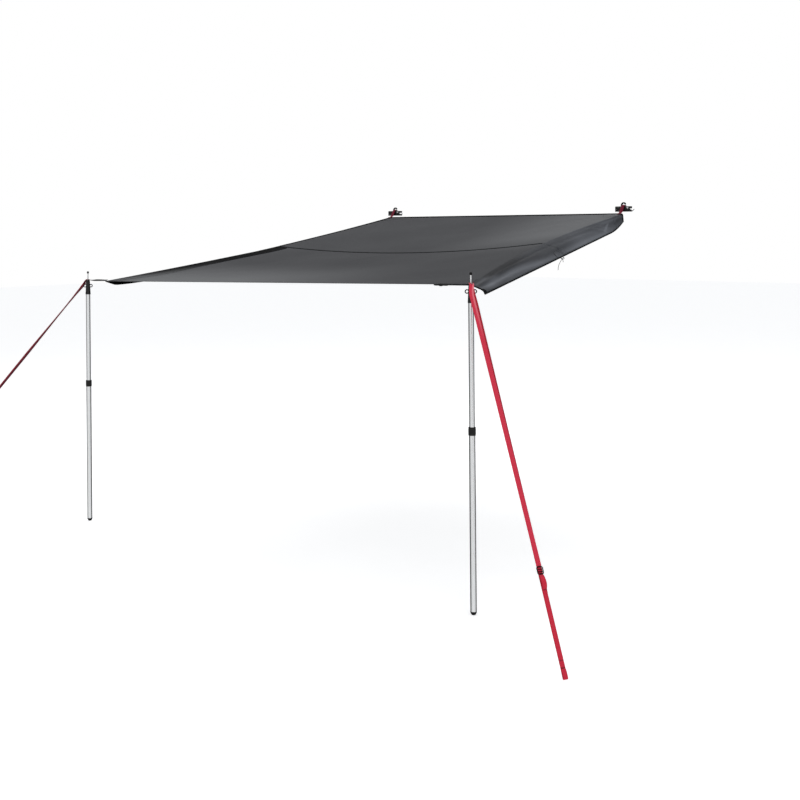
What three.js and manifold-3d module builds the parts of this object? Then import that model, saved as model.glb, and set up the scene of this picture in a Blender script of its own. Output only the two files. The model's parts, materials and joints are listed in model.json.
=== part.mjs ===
// A tarp awning: a sheet whose rear edge hangs from two clamps and whose front corners stand on
// two telescopic poles, each braced to the ground by a doubled webbing guy.
// Millimetres, +Z up, +X along the rear edge, +Y to the rear, where the clamps grip a lip.
// The origin lies midway between the two clamps, on the plane of their upper pads' faces.
import * as THREE from "three";
import { mergeVertices } from "three/addons/utils/BufferGeometryUtils.js";
import Module from "manifold-3d";

const wasm = await Module();
wasm.setup();

// Overall sizes of the awning as it stands, from the ground and from the sheet's rear edge
const SEAT_HEIGHT = 1974;
const REAR_EDGE_HEIGHT = 1935;
const REAR_REACH = 1000;
const FRONT_RIGHT_REACH = 1485;
const FRONT_LEFT_REACH = 1362;
const SHEET_DEPTH = 2435;
const RIGHT_TAB_REACH = 15;
const LEFT_STRAP_REACH = 138;
const POLE_MARGIN = 25;
const RIGHT_TIE_HEIGHT = 1583;
const LEFT_TIE_HEIGHT = 1538;

// Clearances and the overrun of every cut
const CLEARANCE = 0.3;
const OVERRUN = 1;

// The sheet, drawn 2 mm thick, with its two catenary ridges, its sag and its two flaps
const SHEET_THICKNESS = 2;
const RIGHT_BOW = 110;
const LEFT_BOW = 155;
const SHEET_SAG = 52;
const SEAM_SHARE = 0.5;
const RIGHT_FLAP_REAR = { out: 5, down: 87 };
const RIGHT_FLAP_FRONT = { out: 80, down: 43 };
const RIGHT_FLAP_ROUND = { length: 290, lift: 35 };
const RIGHT_FLAP_CROWN = 12;
const LEFT_FLAP_WIDTHS = { rear: 55, middle: 223, front: 123 };
const LEFT_FLAP_REAR_ANGLE = THREE.MathUtils.degToRad(65);
const LEFT_FLAP_FRONT_ANGLE = THREE.MathUtils.degToRad(170);
const LEFT_FLAP_TURN_SHARE = 0.8;

// Corner tabs, eyelets and small trim on the sheet
const TAB_WIDTH = 28;
const TAB_THICKNESS = 2;
const TAB_LAP = 18;
const EYELET_PLAY = 3;
const EYELET_WALL = 2;
const EYELET_LIP = 3.5;
const EYELET_HEIGHT = 4.6;
const LOOP_LENGTH = 20;
const LOOP_DEPTH = 13;
const LOOP_WALL = 1.6;
const LOOP_WIDTH = 12;
const RIGHT_TIE_SHARE = 0.535;
const LEFT_TIE_SHARE = 0.5;
const TIE_CORD_DIAMETER = 2.4;
const ROLLUP_REACH = 1300;
const ROLLUP_STRAP = { width: 16, thickness: 1.6, drop: 3 };
const TOGGLE_DIAMETER = 8;
const TOGGLE_LENGTH = 88;

// Clamps: jaws that close on a lip 8 mm thick, a cam pin with a wire lever, a hook on top
const CLAMP_REACH = 990;
const CLAMP_SETBACK = 20;
const JAW_LENGTH = 105;
const JAW_DEPTH = 42;
const JAW_WALL = 10;
const UPPER_PLATE = 12;
const LOWER_PLATE = 11;
const PAD_THICKNESS = 2;
const PAD_SETBACK = 0.6;
const PAD_MARGIN = 2;
const MOUTH_HEIGHT = 8;
const JAW_CHAMFER = 5;
const CAM_REACH = 41;
const CAM_HEIGHT = 3.3;
const CAM_RADIUS = 3.5;
const CAM_THROW = 3;
const CAM_CLEARANCE = 1;
const PIN_RADIUS = 3;
const PIN_HEAD_RADIUS = 6;
const PIN_HEAD_LENGTH = 4;
const PIN_CHAMFER = 1;
const LUG_THICKNESS = 6.2;
const LUG_WALL = 1.8;
const LEVER_WIRE = 3;
const LEVER_REACH = 28;
const LEVER_DROP = 22;
const LEVER_TIP_REACH = 17;
const LEVER_TIP_RISE = 13;
const HOOK_OFFSET = -16;
const HOOK_SETBACK = 25;
const HOOK_RADIUS = 15;
const HOOK_BAR = 7;
const HOOK_BAR_WIDTH = 10;
const HOOK_FLANGE_RADIUS = 6.5;
const HOOK_FLANGE = 3;
const HOOK_SHANK_RADIUS = 3;
const HOOK_SHANK = 7;
const HOOK_RISE = 5.5;
const SLING_WIDTH = 18;
const SLING_THICKNESS = 2.5;
const SLING_LAP = 24;

// Poles, measured up from the ground and down from the tie height
const UPPER_TUBE = 27;
const UPPER_WALL = 1.2;
const TELESCOPE_GAP = 0.5;
const LOWER_WALL = 1.5;
const FOOT_HEIGHT = 16;
const FOOT_FLAT_RADIUS = 9;
const FOOT_PLUG = 25;
const COLLAR_BOTTOM = 858;
const COLLAR_HEIGHT = 40;
const COLLAR_WALL = 3;
const COLLAR_LEDGE = 18;
const COLLAR_CHAMFER = 2;
const TUBE_INSERTION = 150;
const LOCK_LENGTH = 30;
const LOCK_SPIGOT = 20;
const HEAD_HEIGHT = 91;
const HEAD_TOP_RADIUS = 12;
const HEAD_WALL = 2.5;
const HEAD_DOME_RADIUS = 13;
const HEAD_SOCKET = 24;
const SPIKE_DIAMETER = 8;
const SPIKE_SOCKET = 24;
const SPIKE_EXPOSED = 43;
const CAP_DIAMETER = 13;
const CAP_HEIGHT = 13;
const CAP_SOCKET = 8;
const EYE_RADIUS = 9.5;
const EYE_WIRE = 3;
const EYE_REACH = 19;
const EYE_DROP = 36;
const EYE_TURN = THREE.MathUtils.degToRad(39);

// Guys: two layers of webbing down to a ladder-lock buckle, then one strap to a peg loop
const RIGHT_GUY_REACH = { x: 764, y: -431 };
const LEFT_GUY_REACH = { x: -1225, y: -616 };
const WEBBING_WIDTH = 20;
const WEBBING_THICKNESS = 1.8;
const WEBBING_GAP = 0.6;
const GUY_HOLE_PLAY = 1.8;
const GUY_TAB_REACH = 17;
const GUY_SPREAD = 11.5;
const BUCKLE_SHARE = 0.745;
const BUCKLE_WIDTH = 28;
const BUCKLE_LENGTH = 34;
const BUCKLE_THICKNESS = 4;
const BUCKLE_BAR = 4.5;
const BUCKLE_RAIL = 3.2;
const TAIL_START = 3;
const TAIL_BULGE = 26;
const TAIL_LENGTH = 64;
const PEG_LOOP_LENGTH = 42;
const PEG_LOOP_DEPTH = 12;
const GROUND_GAP = 1.5;

// Facets of round and swept shapes
const ROUND_SIDES = 20;
const WIRE_SIDES = 8;
const EYE_STEPS = 20;

const RUBBER = { color: 0x161617, roughness: 0.85, metalness: 0 };
const BLACK_PLASTIC = { color: 0x1b1b1c, roughness: 0.5, metalness: 0 };
const BLACK_STEEL = { color: 0x202122, roughness: 0.45, metalness: 0.6 };
const STEEL = { color: 0xb9babb, roughness: 0.3, metalness: 1 };
const ALUMINIUM = { color: 0xa9abad, roughness: 0.35, metalness: 1 };
const CLOTH = { color: 0x525254, roughness: 0.8, metalness: 0 };
const FLAP_CLOTH = { color: 0x4a4e54, roughness: 0.7, metalness: 0 };
const BLACK_WEBBING = { color: 0x1d1d1f, roughness: 0.85, metalness: 0 };
const RED_WEBBING = { color: 0xd22a42, roughness: 0.75, metalness: 0 };
const DARK_RED_WEBBING = { color: 0x7c1f36, roughness: 0.8, metalness: 0 };
const GREY_CORD = { color: 0x8c8d8f, roughness: 0.8, metalness: 0 };

function piece(parent, name, geometry, look) {
  const mesh = new THREE.Mesh(geometry, new THREE.MeshStandardMaterial(look));
  mesh.name = name;
  parent.add(mesh);
  return mesh;
}

function solidOf(geometry) {
  const bare = geometry.clone();
  bare.deleteAttribute("normal");
  bare.deleteAttribute("uv");
  const merged = mergeVertices(bare);
  return new wasm.Manifold(
    new wasm.Mesh({
      numProp: 3,
      vertProperties: merged.attributes.position.array,
      triVerts: new Uint32Array(merged.index.array),
    }),
  );
}

function geometryOf(solid) {
  const mesh = solid.getMesh();
  return new THREE.BufferGeometry()
    .setAttribute("position", new THREE.BufferAttribute(mesh.vertProperties, 3))
    .setIndex(new THREE.BufferAttribute(mesh.triVerts, 1));
}

function joined(first, ...others) {
  return geometryOf(others.reduce((sum, g) => sum.add(solidOf(g)), solidOf(first)));
}

function cut(first, ...others) {
  return geometryOf(others.reduce((rest, g) => rest.subtract(solidOf(g)), solidOf(first)));
}

// A box between two corners
function block(low, high) {
  const size = high.map((value, i) => value - low[i]);
  const middle = high.map((value, i) => (value + low[i]) / 2);
  return new THREE.BoxGeometry(...size).translate(...middle);
}

// A profile of [radius, height] pairs turned about the Z axis
function turned(profile, sides = ROUND_SIDES) {
  const points = profile.map(([radius, height]) => new THREE.Vector2(radius, height));
  return new THREE.LatheGeometry(points, sides).rotateX(Math.PI / 2);
}

function tube(inner, outer, bottom, top) {
  return turned([
    [inner, bottom],
    [outer, bottom],
    [outer, top],
    [inner, top],
    [inner, bottom],
  ]);
}

// An outline in X and Z, given as a shape, that runs from one Y to another
function runAlongY(shape, from, to) {
  const depth = to - from;
  return new THREE.ExtrudeGeometry(shape, { depth, bevelEnabled: false, curveSegments: WIRE_SIDES })
    .rotateX(Math.PI / 2)
    .translate(0, to, 0);
}

function roundWire(points, diameter, steps) {
  const section = new THREE.Shape(regularPoints(diameter / 2, WIRE_SIDES));
  const extrudePath = new THREE.CatmullRomCurve3(points);
  return new THREE.ExtrudeGeometry(section, { steps, extrudePath });
}

function regularPoints(radius, count) {
  return Array.from({ length: count }, (_, i) => {
    const angle = (2 * Math.PI * (i + 0.5)) / count;
    return new THREE.Vector2(radius * Math.cos(angle), radius * Math.sin(angle));
  });
}

// Webbing swept along a curve, with its corners cut, its width lying along a given direction
function webbing(points, widthDirection, width, thickness, steps) {
  const extrudePath = new THREE.CatmullRomCurve3(points);
  const frames = extrudePath.computeFrenetFrames(steps, false);
  const turn = Math.atan2(
    widthDirection.dot(frames.binormals[0]),
    widthDirection.dot(frames.normals[0]),
  );
  const corner = thickness / 4;
  const [x, y] = [width / 2, thickness / 2];
  const outline = [
    [x, y - corner],
    [x - corner, y],
    [corner - x, y],
    [-x, y - corner],
    [-x, corner - y],
    [corner - x, -y],
    [x - corner, -y],
    [x, corner - y],
  ].map(([a, b]) => new THREE.Vector2(a, b).rotateAround(new THREE.Vector2(), turn));
  return new THREE.ExtrudeGeometry(new THREE.Shape(outline), { steps, extrudePath });
}

// A thin closed sheet: place(u, v) is its middle surface, with u and v from 0 to 1
function sheet(place, acrossSteps, alongSteps, thickness) {
  const positions = [];
  const nudge = 1e-3;
  for (const side of [1, -1]) {
    for (let j = 0; j <= alongSteps; j++) {
      for (let i = 0; i <= acrossSteps; i++) {
        const [u, v] = [i / acrossSteps, j / alongSteps];
        const acrossDirection = place(u + nudge, v).sub(place(u - nudge, v));
        const alongDirection = place(u, v + nudge).sub(place(u, v - nudge));
        const normal = acrossDirection.cross(alongDirection).normalize();
        positions.push(...place(u, v).addScaledVector(normal, (side * thickness) / 2));
      }
    }
  }
  const columns = acrossSteps + 1;
  const under = columns * (alongSteps + 1);
  const at = (i, j) => j * columns + i;
  const faces = [];
  for (let j = 0; j < alongSteps; j++) {
    for (let i = 0; i < acrossSteps; i++) {
      const [a, b, c, d] = [at(i, j), at(i + 1, j), at(i + 1, j + 1), at(i, j + 1)];
      faces.push(a, b, c, a, c, d);
      faces.push(c + under, b + under, a + under, d + under, c + under, a + under);
    }
  }
  const rim = [];
  for (let i = 0; i < acrossSteps; i++) rim.push(at(i, 0));
  for (let j = 0; j < alongSteps; j++) rim.push(at(acrossSteps, j));
  for (let i = acrossSteps; i > 0; i--) rim.push(at(i, alongSteps));
  for (let j = alongSteps; j > 0; j--) rim.push(at(0, j));
  rim.forEach((top, k) => {
    const next = rim[(k + 1) % rim.length];
    faces.push(top, top + under, next + under, top, next + under, next);
  });
  return new THREE.BufferGeometry()
    .setAttribute("position", new THREE.Float32BufferAttribute(positions, 3))
    .setIndex(faces);
}

const awning = new THREE.Group();
// The site group has its zero on the ground under the middle of the sheet's rear edge
const site = new THREE.Group();
site.position.set(0, -CLAMP_SETBACK - JAW_DEPTH / 2, -SEAT_HEIGHT);
awning.add(site);

// Where the poles stand, and the radii that their pieces share
const rightPoleX = FRONT_RIGHT_REACH + RIGHT_TAB_REACH;
const leftPoleX = -FRONT_LEFT_REACH - LEFT_STRAP_REACH;
const poleY = -SHEET_DEPTH - POLE_MARGIN;
const upperOuter = UPPER_TUBE / 2;
const upperInner = upperOuter - UPPER_WALL;
const lowerInner = upperOuter + TELESCOPE_GAP;
const lowerOuter = lowerInner + LOWER_WALL;
const spikeRadius = SPIKE_DIAMETER / 2;
const eyeletBore = spikeRadius + EYELET_PLAY;
const eyeletNeck = eyeletBore + EYELET_WALL;
const eyeletRim = eyeletNeck + EYELET_LIP;

// The eyelets sit on the domes of the poles' heads, and the sheet's corners hang under the tabs
const domeAtEyelet = HEAD_DOME_RADIUS - Math.sqrt(HEAD_DOME_RADIUS ** 2 - eyeletBore ** 2);
const eyeletLift = EYELET_HEIGHT / 2 + CLEARANCE - domeAtEyelet;

function cornerHeight(tieHeight) {
  const slope = (REAR_EDGE_HEIGHT - tieHeight) / SHEET_DEPTH;
  const layers = (TAB_THICKNESS + SHEET_THICKNESS) / 2 + CLEARANCE;
  return tieHeight + eyeletLift - layers - slope * TAB_LAP;
}

const rightCornerHeight = cornerHeight(RIGHT_TIE_HEIGHT);
const leftCornerHeight = cornerHeight(LEFT_TIE_HEIGHT);

// t runs from 0 at the rear edge to 1 at the front edge
const hump = (t) => 4 * t * (1 - t);

function rightRidge(t) {
  const reach = REAR_REACH + (FRONT_RIGHT_REACH - REAR_REACH) * t - RIGHT_BOW * hump(t);
  const height = REAR_EDGE_HEIGHT + (rightCornerHeight - REAR_EDGE_HEIGHT) * t;
  return new THREE.Vector3(reach, -SHEET_DEPTH * t, height);
}

function leftRidge(t) {
  const reach = REAR_REACH + (FRONT_LEFT_REACH - REAR_REACH) * t - LEFT_BOW * hump(t);
  const height = REAR_EDGE_HEIGHT + (leftCornerHeight - REAR_EDGE_HEIGHT) * t;
  return new THREE.Vector3(-reach, -SHEET_DEPTH * t, height);
}

// The sheet between its ridges: a is 0 at the left ridge and 1 at the right one
function mainSurface(a, t) {
  const point = leftRidge(t).lerp(rightRidge(t), a);
  point.z -= SHEET_SAG * hump(a) * hump(t);
  return point;
}

function rightFlapSurface(b, t) {
  const rear = rightRidge(0).add(new THREE.Vector3(RIGHT_FLAP_REAR.out, 0, -RIGHT_FLAP_REAR.down));
  const front = rightRidge(1).add(
    new THREE.Vector3(RIGHT_FLAP_FRONT.out, 0, -RIGHT_FLAP_FRONT.down),
  );
  const edge = rear.lerp(front, t);
  const rounding = Math.max(0, 1 - (SHEET_DEPTH * t) / RIGHT_FLAP_ROUND.length);
  edge.z += RIGHT_FLAP_ROUND.lift * rounding ** 2;
  const start = rightRidge(t);
  const across = edge.clone().sub(start).normalize();
  start.x += CLEARANCE;
  start.z += SHEET_THICKNESS * across.z;
  const point = start.lerp(edge, b);
  point.z += RIGHT_FLAP_CROWN * hump(b) * hump(t);
  return point;
}

function leftFlapSurface(b, t) {
  const { rear, middle, front } = LEFT_FLAP_WIDTHS;
  const width = rear + (front - rear) * t + (middle - (rear + front) / 2) * hump(t);
  const unturned = Math.max(0, 1 - t / LEFT_FLAP_TURN_SHARE) ** 2;
  const angle =
    LEFT_FLAP_FRONT_ANGLE + (LEFT_FLAP_REAR_ANGLE - LEFT_FLAP_FRONT_ANGLE) * unturned;
  const [cosine, sine] = [Math.cos(angle), Math.sin(angle)];
  const point = leftRidge(t);
  point.x -= width * b * cosine + foldGap * Math.max(cosine, 0);
  point.z -= width * b * sine + foldGap;
  return point;
}

// Shares of the sheet that a seam or a ridge takes away, so that the panels stay a clearance apart
const seamShare = CLEARANCE / 2 / SHEET_DEPTH;
const ridgeShare = CLEARANCE / REAR_REACH;
const foldGap = CLEARANCE + SHEET_THICKNESS;

function addPanels() {
  const spans = {
    rear_panel: [0, SEAM_SHARE - seamShare],
    front_panel: [SEAM_SHARE + seamShare, 1],
  };
  for (const [name, [from, to]] of Object.entries(spans)) {
    const place = (u, v) =>
      mainSurface(1 - ridgeShare - u * (1 - 2 * ridgeShare), from + (to - from) * v);
    piece(site, name, sheet(place, 14, 8, SHEET_THICKNESS), CLOTH);
  }
}

function addFlaps() {
  const right = (u, v) => rightFlapSurface(1 - u, v);
  piece(site, "right_flap", sheet(right, 4, 20, SHEET_THICKNESS), FLAP_CLOTH);
  piece(site, "left_flap", sheet(leftFlapSurface, 4, 14, SHEET_THICKNESS), FLAP_CLOTH);
}

// A webbing tab that lies flat from the sheet's front corner to the eyelet on the spike
function cornerTab(corner, eyelet) {
  const run = eyelet.clone().sub(corner).setZ(0);
  const length = run.length() + TAB_LAP;
  const outline = new THREE.Shape();
  const half = TAB_WIDTH / 2;
  outline.moveTo(-length, -half);
  outline.lineTo(0, -half);
  outline.absarc(0, 0, half, -Math.PI / 2, Math.PI / 2, false);
  outline.lineTo(-length, half);
  outline.closePath();
  const hole = new THREE.Path();
  hole.absarc(0, 0, eyeletNeck + CLEARANCE, 0, 2 * Math.PI, true);
  outline.holes.push(hole);
  return new THREE.ExtrudeGeometry(outline, {
    depth: TAB_THICKNESS,
    bevelEnabled: false,
    curveSegments: WIRE_SIDES,
  })
    .translate(0, 0, -TAB_THICKNESS / 2)
    .rotateZ(Math.atan2(run.y, run.x))
    .translate(...eyelet);
}

function addCornerTab(name, eyeletName, corner, poleX, tieHeight) {
  const eyelet = new THREE.Vector3(poleX, poleY, tieHeight + eyeletLift);
  piece(site, name, cornerTab(corner, eyelet), BLACK_WEBBING);
  const inner = TAB_THICKNESS / 2 + CLEARANCE;
  const outer = EYELET_HEIGHT / 2;
  const ring = turned([
    [eyeletBore, -outer],
    [eyeletRim, -outer],
    [eyeletRim, -inner],
    [eyeletNeck, -inner],
    [eyeletNeck, inner],
    [eyeletRim, inner],
    [eyeletRim, outer],
    [eyeletBore, outer],
    [eyeletBore, -outer],
  ]);
  piece(site, eyeletName, ring, STEEL).position.copy(eyelet);
}

// A closed loop of webbing, hung from a flap's edge at a share of its length
function addTieLoop(name, surface, share) {
  const edge = surface(1, share);
  const along = surface(1, share - seamShare).sub(surface(1, share + seamShare));
  along.normalize();
  const outward = edge.clone().sub(surface(0, share));
  outward.addScaledVector(along, -outward.dot(along)).normalize();
  const shape = ovalRing(LOOP_LENGTH, LOOP_DEPTH, LOOP_WALL);
  const upward = outward.clone().cross(along);
  const geometry = runAlongY(shape, -LOOP_WIDTH / 2, LOOP_WIDTH / 2);
  geometry.applyMatrix4(new THREE.Matrix4().makeBasis(outward, along, upward));
  const loop = piece(site, name, geometry, BLACK_WEBBING);
  loop.position.copy(edge).addScaledVector(outward, LOOP_LENGTH / 2 + 2 * CLEARANCE);
  return loop.position.clone().addScaledVector(upward, -LOOP_DEPTH / 2 - 2 * CLEARANCE);
}

function ovalRing(length, depth, wall) {
  const ring = ovalOutline(new THREE.Shape(), length, depth, false);
  ring.holes.push(ovalOutline(new THREE.Path(), length - 2 * wall, depth - 2 * wall, true));
  return ring;
}

function ovalOutline(path, length, depth, clockwise) {
  const radius = depth / 2;
  const reach = length / 2 - radius;
  const [quarter, half] = [Math.PI / 2, Math.PI];
  if (clockwise) {
    path.absarc(reach, 0, radius, quarter, -quarter, true);
    path.absarc(-reach, 0, radius, -quarter, -quarter - half, true);
  } else {
    path.absarc(reach, 0, radius, -quarter, quarter, false);
    path.absarc(-reach, 0, radius, quarter, quarter + half, false);
  }
  path.closePath();
  return path;
}

// The thin cord that dangles from under the right loop; offsets from its knot there, in millimetres
const TIE_CORD_ROUTE = [
  [0, 0, 0],
  [0, -1, -9],
  [-1, -2, -19],
  [-4, -3, -29],
  [-8, -3, -39],
  [-11, -2, -49],
  [-12, -1, -59],
  [-11, -1, -68],
];

function addTieCord(knot) {
  const route = TIE_CORD_ROUTE.map((offset) => new THREE.Vector3(...offset).add(knot));
  piece(site, "right_tie_cord", roundWire(route, TIE_CORD_DIAMETER, 12), GREY_CORD);
}

// A short strap under the front edge holds the toggle that keeps the rolled sheet together
function addRollup() {
  const share = (ROLLUP_REACH + FRONT_LEFT_REACH) / (FRONT_RIGHT_REACH + FRONT_LEFT_REACH);
  const { width, thickness, drop } = ROLLUP_STRAP;
  const edge = mainSurface(share, 1);
  const top = edge.z - SHEET_THICKNESS / 2 - CLEARANCE;
  const strap = block(
    [-width / 2, thickness, -drop],
    [width / 2, thickness + thickness, 0],
  );
  piece(site, "rollup_strap", strap, BLACK_WEBBING).position.set(edge.x, edge.y, top);
  const radius = TOGGLE_DIAMETER / 2;
  const half = TOGGLE_LENGTH / 2;
  const toggle = turned([
    [0, -half],
    [radius / 2, -half],
    [radius, -half + radius / 2],
    [radius, half - radius / 2],
    [radius / 2, half],
    [0, half],
  ]).rotateY(Math.PI / 2);
  piece(site, "rollup_toggle", toggle, BLACK_PLASTIC).position.set(
    edge.x,
    edge.y + thickness * 1.5,
    top - drop - CLEARANCE - radius,
  );
}

// Levels of a clamp, from the plane of its upper pad's face
const upperPlateBottom = PAD_THICKNESS + CLEARANCE;
const clampTop = upperPlateBottom + UPPER_PLATE;
const lowerPadBottom = -MOUTH_HEIGHT - PAD_THICKNESS;
const lowerJawTop = lowerPadBottom - CLEARANCE;
const lowerJawBottom = lowerJawTop - LOWER_PLATE;
const camTop = CAM_HEIGHT + CAM_THROW;
const windowHalf = CAM_RADIUS + CAM_CLEARANCE;
const windowLeft = CAM_REACH - CAM_THROW - windowHalf;
const windowRight = CAM_REACH + windowHalf;
const lugTop = camTop + windowHalf + LUG_WALL;
const lugFront = JAW_WALL + 4 * CLEARANCE;
const lugBack = lugFront + LUG_THICKNESS;
const padFront = lugBack + PAD_SETBACK;

function upperJaw() {
  const half = JAW_LENGTH / 2;
  const profile = new THREE.Shape();
  profile.moveTo(0, lowerPadBottom);
  profile.lineTo(JAW_WALL, lowerPadBottom);
  profile.lineTo(JAW_WALL, upperPlateBottom);
  profile.lineTo(JAW_DEPTH, upperPlateBottom);
  profile.lineTo(JAW_DEPTH, clampTop);
  profile.lineTo(JAW_CHAMFER, clampTop);
  profile.lineTo(0, clampTop - JAW_CHAMFER);
  profile.closePath();
  const body = new THREE.ExtrudeGeometry(profile, { depth: JAW_LENGTH, bevelEnabled: false });
  body.applyMatrix4(
    new THREE.Matrix4().makeBasis(
      new THREE.Vector3(0, 1, 0),
      new THREE.Vector3(0, 0, 1),
      new THREE.Vector3(1, 0, 0),
    ),
  );
  body.translate(-half, 0, 0);
  const pocket = block(
    [windowLeft - LUG_WALL - CLEARANCE, JAW_WALL, upperPlateBottom - OVERRUN],
    [windowRight + LUG_WALL + CLEARANCE, lugBack + CLEARANCE, lugTop + CLEARANCE],
  );
  const pinBore = new THREE.CylinderGeometry(
    PIN_RADIUS + CLEARANCE,
    PIN_RADIUS + CLEARANCE,
    JAW_WALL + 2 * OVERRUN,
    ROUND_SIDES,
  ).translate(CAM_REACH, JAW_WALL / 2, CAM_HEIGHT);
  const shankHole = turned([
    [0, clampTop - HOOK_SHANK - CLEARANCE],
    [HOOK_SHANK_RADIUS + CLEARANCE, clampTop - HOOK_SHANK - CLEARANCE],
    [HOOK_SHANK_RADIUS + CLEARANCE, clampTop + OVERRUN],
    [0, clampTop + OVERRUN],
  ]).translate(HOOK_OFFSET, HOOK_SETBACK, 0);
  return cut(body, pocket, pinBore, shankHole);
}

function lowerJaw() {
  const half = JAW_LENGTH / 2;
  const plate = block([-half, 0, lowerJawBottom], [half, JAW_DEPTH, lowerJawTop]);
  const lug = block(
    [windowLeft - LUG_WALL, lugFront, lowerJawTop - OVERRUN],
    [windowRight + LUG_WALL, lugBack, lugTop],
  );
  const window = block(
    [windowLeft, lugFront - OVERRUN, camTop - windowHalf],
    [windowRight, lugBack + OVERRUN, camTop + windowHalf],
  );
  return cut(joined(plate, lug), window);
}

function jawPad(bottom) {
  const half = JAW_LENGTH / 2 - PAD_MARGIN;
  return block([-half, padFront, bottom], [half, JAW_DEPTH, bottom + PAD_THICKNESS]);
}

// The round head in front of the jaw, the shaft through its wall and the eccentric behind it
function camPin() {
  const camStart = JAW_WALL + 2 * CLEARANCE;
  const wallPart = camStart + 2 * CLEARANCE;
  const shaft = turned([
    [0, -PIN_HEAD_LENGTH],
    [PIN_HEAD_RADIUS - PIN_CHAMFER, -PIN_HEAD_LENGTH],
    [PIN_HEAD_RADIUS, PIN_CHAMFER - PIN_HEAD_LENGTH],
    [PIN_HEAD_RADIUS, 0],
    [PIN_RADIUS, 0],
    [PIN_RADIUS, wallPart],
    [0, wallPart],
  ]);
  const eccentric = turned([
    [0, camStart],
    [CAM_RADIUS, camStart],
    [CAM_RADIUS, lugBack],
    [0, lugBack],
  ]).translate(0, CAM_THROW, 0);
  return joined(shaft, eccentric).rotateX(-Math.PI / 2).rotateY(Math.PI);
}

// The lever's way out from the pin and down, as shares of its reach and its drop
const LEVER_ARM_SHARES = [
  [0, 0],
  [0.2, 0],
  [0.46, 0.32],
  [0.85, 0.86],
  [1, 1],
];
// The same for its tip's way out and up again
const LEVER_TIP_SHARES = [
  [0.24, 0.15],
  [1, 1],
];

// The wire leaves the pin's head sideways, dips and rises again
function leverWire() {
  const depth = -PIN_HEAD_LENGTH / 2;
  const start = PIN_HEAD_RADIUS + CLEARANCE;
  const arm = LEVER_ARM_SHARES.map(
    ([out, down]) => new THREE.Vector3(start + LEVER_REACH * out, depth, -LEVER_DROP * down),
  );
  const bend = arm[arm.length - 1];
  const tip = LEVER_TIP_SHARES.map(([out, up]) =>
    bend.clone().add(new THREE.Vector3(LEVER_TIP_REACH * out, 0, LEVER_TIP_RISE * up)),
  );
  return roundWire([...arm, ...tip], LEVER_WIRE, 18);
}

function hook() {
  const flange = turned([
    [0, clampTop - HOOK_SHANK],
    [HOOK_SHANK_RADIUS, clampTop - HOOK_SHANK],
    [HOOK_SHANK_RADIUS, clampTop + CLEARANCE],
    [HOOK_FLANGE_RADIUS, clampTop + CLEARANCE],
    [HOOK_FLANGE_RADIUS, clampTop + HOOK_FLANGE],
    [0, clampTop + HOOK_FLANGE],
  ]);
  const centre = clampTop + HOOK_FLANGE + HOOK_RISE;
  const points = [new THREE.Vector3(0, 0, clampTop + OVERRUN), new THREE.Vector3(0, 0, centre)];
  const arcSteps = 9;
  const arcSpan = THREE.MathUtils.degToRad(165);
  for (let i = 1; i <= arcSteps; i++) {
    const angle = Math.PI - (arcSpan * i) / arcSteps;
    points.push(
      new THREE.Vector3(
        HOOK_RADIUS + HOOK_RADIUS * Math.cos(angle),
        0,
        centre + HOOK_RADIUS * Math.sin(angle),
      ),
    );
  }
  const bar = webbing(points, new THREE.Vector3(0, 1, 0), HOOK_BAR_WIDTH, HOOK_BAR, 22);
  return joined(flange, bar).translate(HOOK_OFFSET, HOOK_SETBACK, 0);
}

// The sling's places on the jaw's top, as shares of the jaw's depth
const SLING_TOP_SHARES = [0.95, 0.72, 0.48, 0.24, 0.05];
// Its fall to the sheet's edge, as shares of the clamp's setback and of the fall
const SLING_FALL_SHARES = [
  [0.15, 0.11],
  [0.27, 0.28],
  [0.45, 0.57],
  [0.7, 0.83],
  [1, 0.965],
];
const SLING_LAP_SHARES = [0.4, 1];

// From behind the hook, through its throat, over the jaw's edge and down onto the sheet's corner
function sling(ridge) {
  const lift = CLEARANCE + SLING_THICKNESS / 2;
  const level = clampTop + lift;
  const onSheet = (y) =>
    ridge(-(CLAMP_SETBACK + y) / SHEET_DEPTH).z + SHEET_THICKNESS / 2 + lift - SEAT_HEIGHT;
  const fall = level - onSheet(-CLAMP_SETBACK);
  const top = SLING_TOP_SHARES.map((share) => [JAW_DEPTH * share, level]);
  const front = SLING_FALL_SHARES.map(([out, down]) => [-CLAMP_SETBACK * out, level - fall * down]);
  const lap = SLING_LAP_SHARES.map((share) => {
    const y = -CLAMP_SETBACK - SLING_LAP * share;
    return [y, onSheet(y) + CLEARANCE];
  });
  const route = [...top, ...front, ...lap].map(([y, z]) => new THREE.Vector3(0, y, z));
  return webbing(route, new THREE.Vector3(1, 0, 0), SLING_WIDTH, SLING_THICKNESS, 26);
}

function addClamp(side, x, ridge) {
  const fixed = new THREE.Group();
  fixed.position.set(x, CLAMP_SETBACK, SEAT_HEIGHT);
  site.add(fixed);
  piece(fixed, side + "_clamp_upper_jaw", upperJaw(), BLACK_PLASTIC);
  piece(fixed, side + "_clamp_lower_jaw", lowerJaw(), BLACK_PLASTIC);
  piece(fixed, side + "_clamp_upper_pad", jawPad(0), RUBBER);
  piece(fixed, side + "_clamp_lower_pad", jawPad(lowerPadBottom), RUBBER);
  const pin = piece(fixed, side + "_clamp_cam_pin", camPin(), STEEL);
  pin.position.set(CAM_REACH, -CLEARANCE, CAM_HEIGHT);
  const lever = piece(fixed, side + "_clamp_wire_lever", leverWire(), STEEL);
  lever.position.copy(pin.position);
  piece(fixed, side + "_clamp_hook", hook(), BLACK_STEEL);
  piece(fixed, side + "_clamp_sling", sling(ridge), DARK_RED_WEBBING);
}

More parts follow.
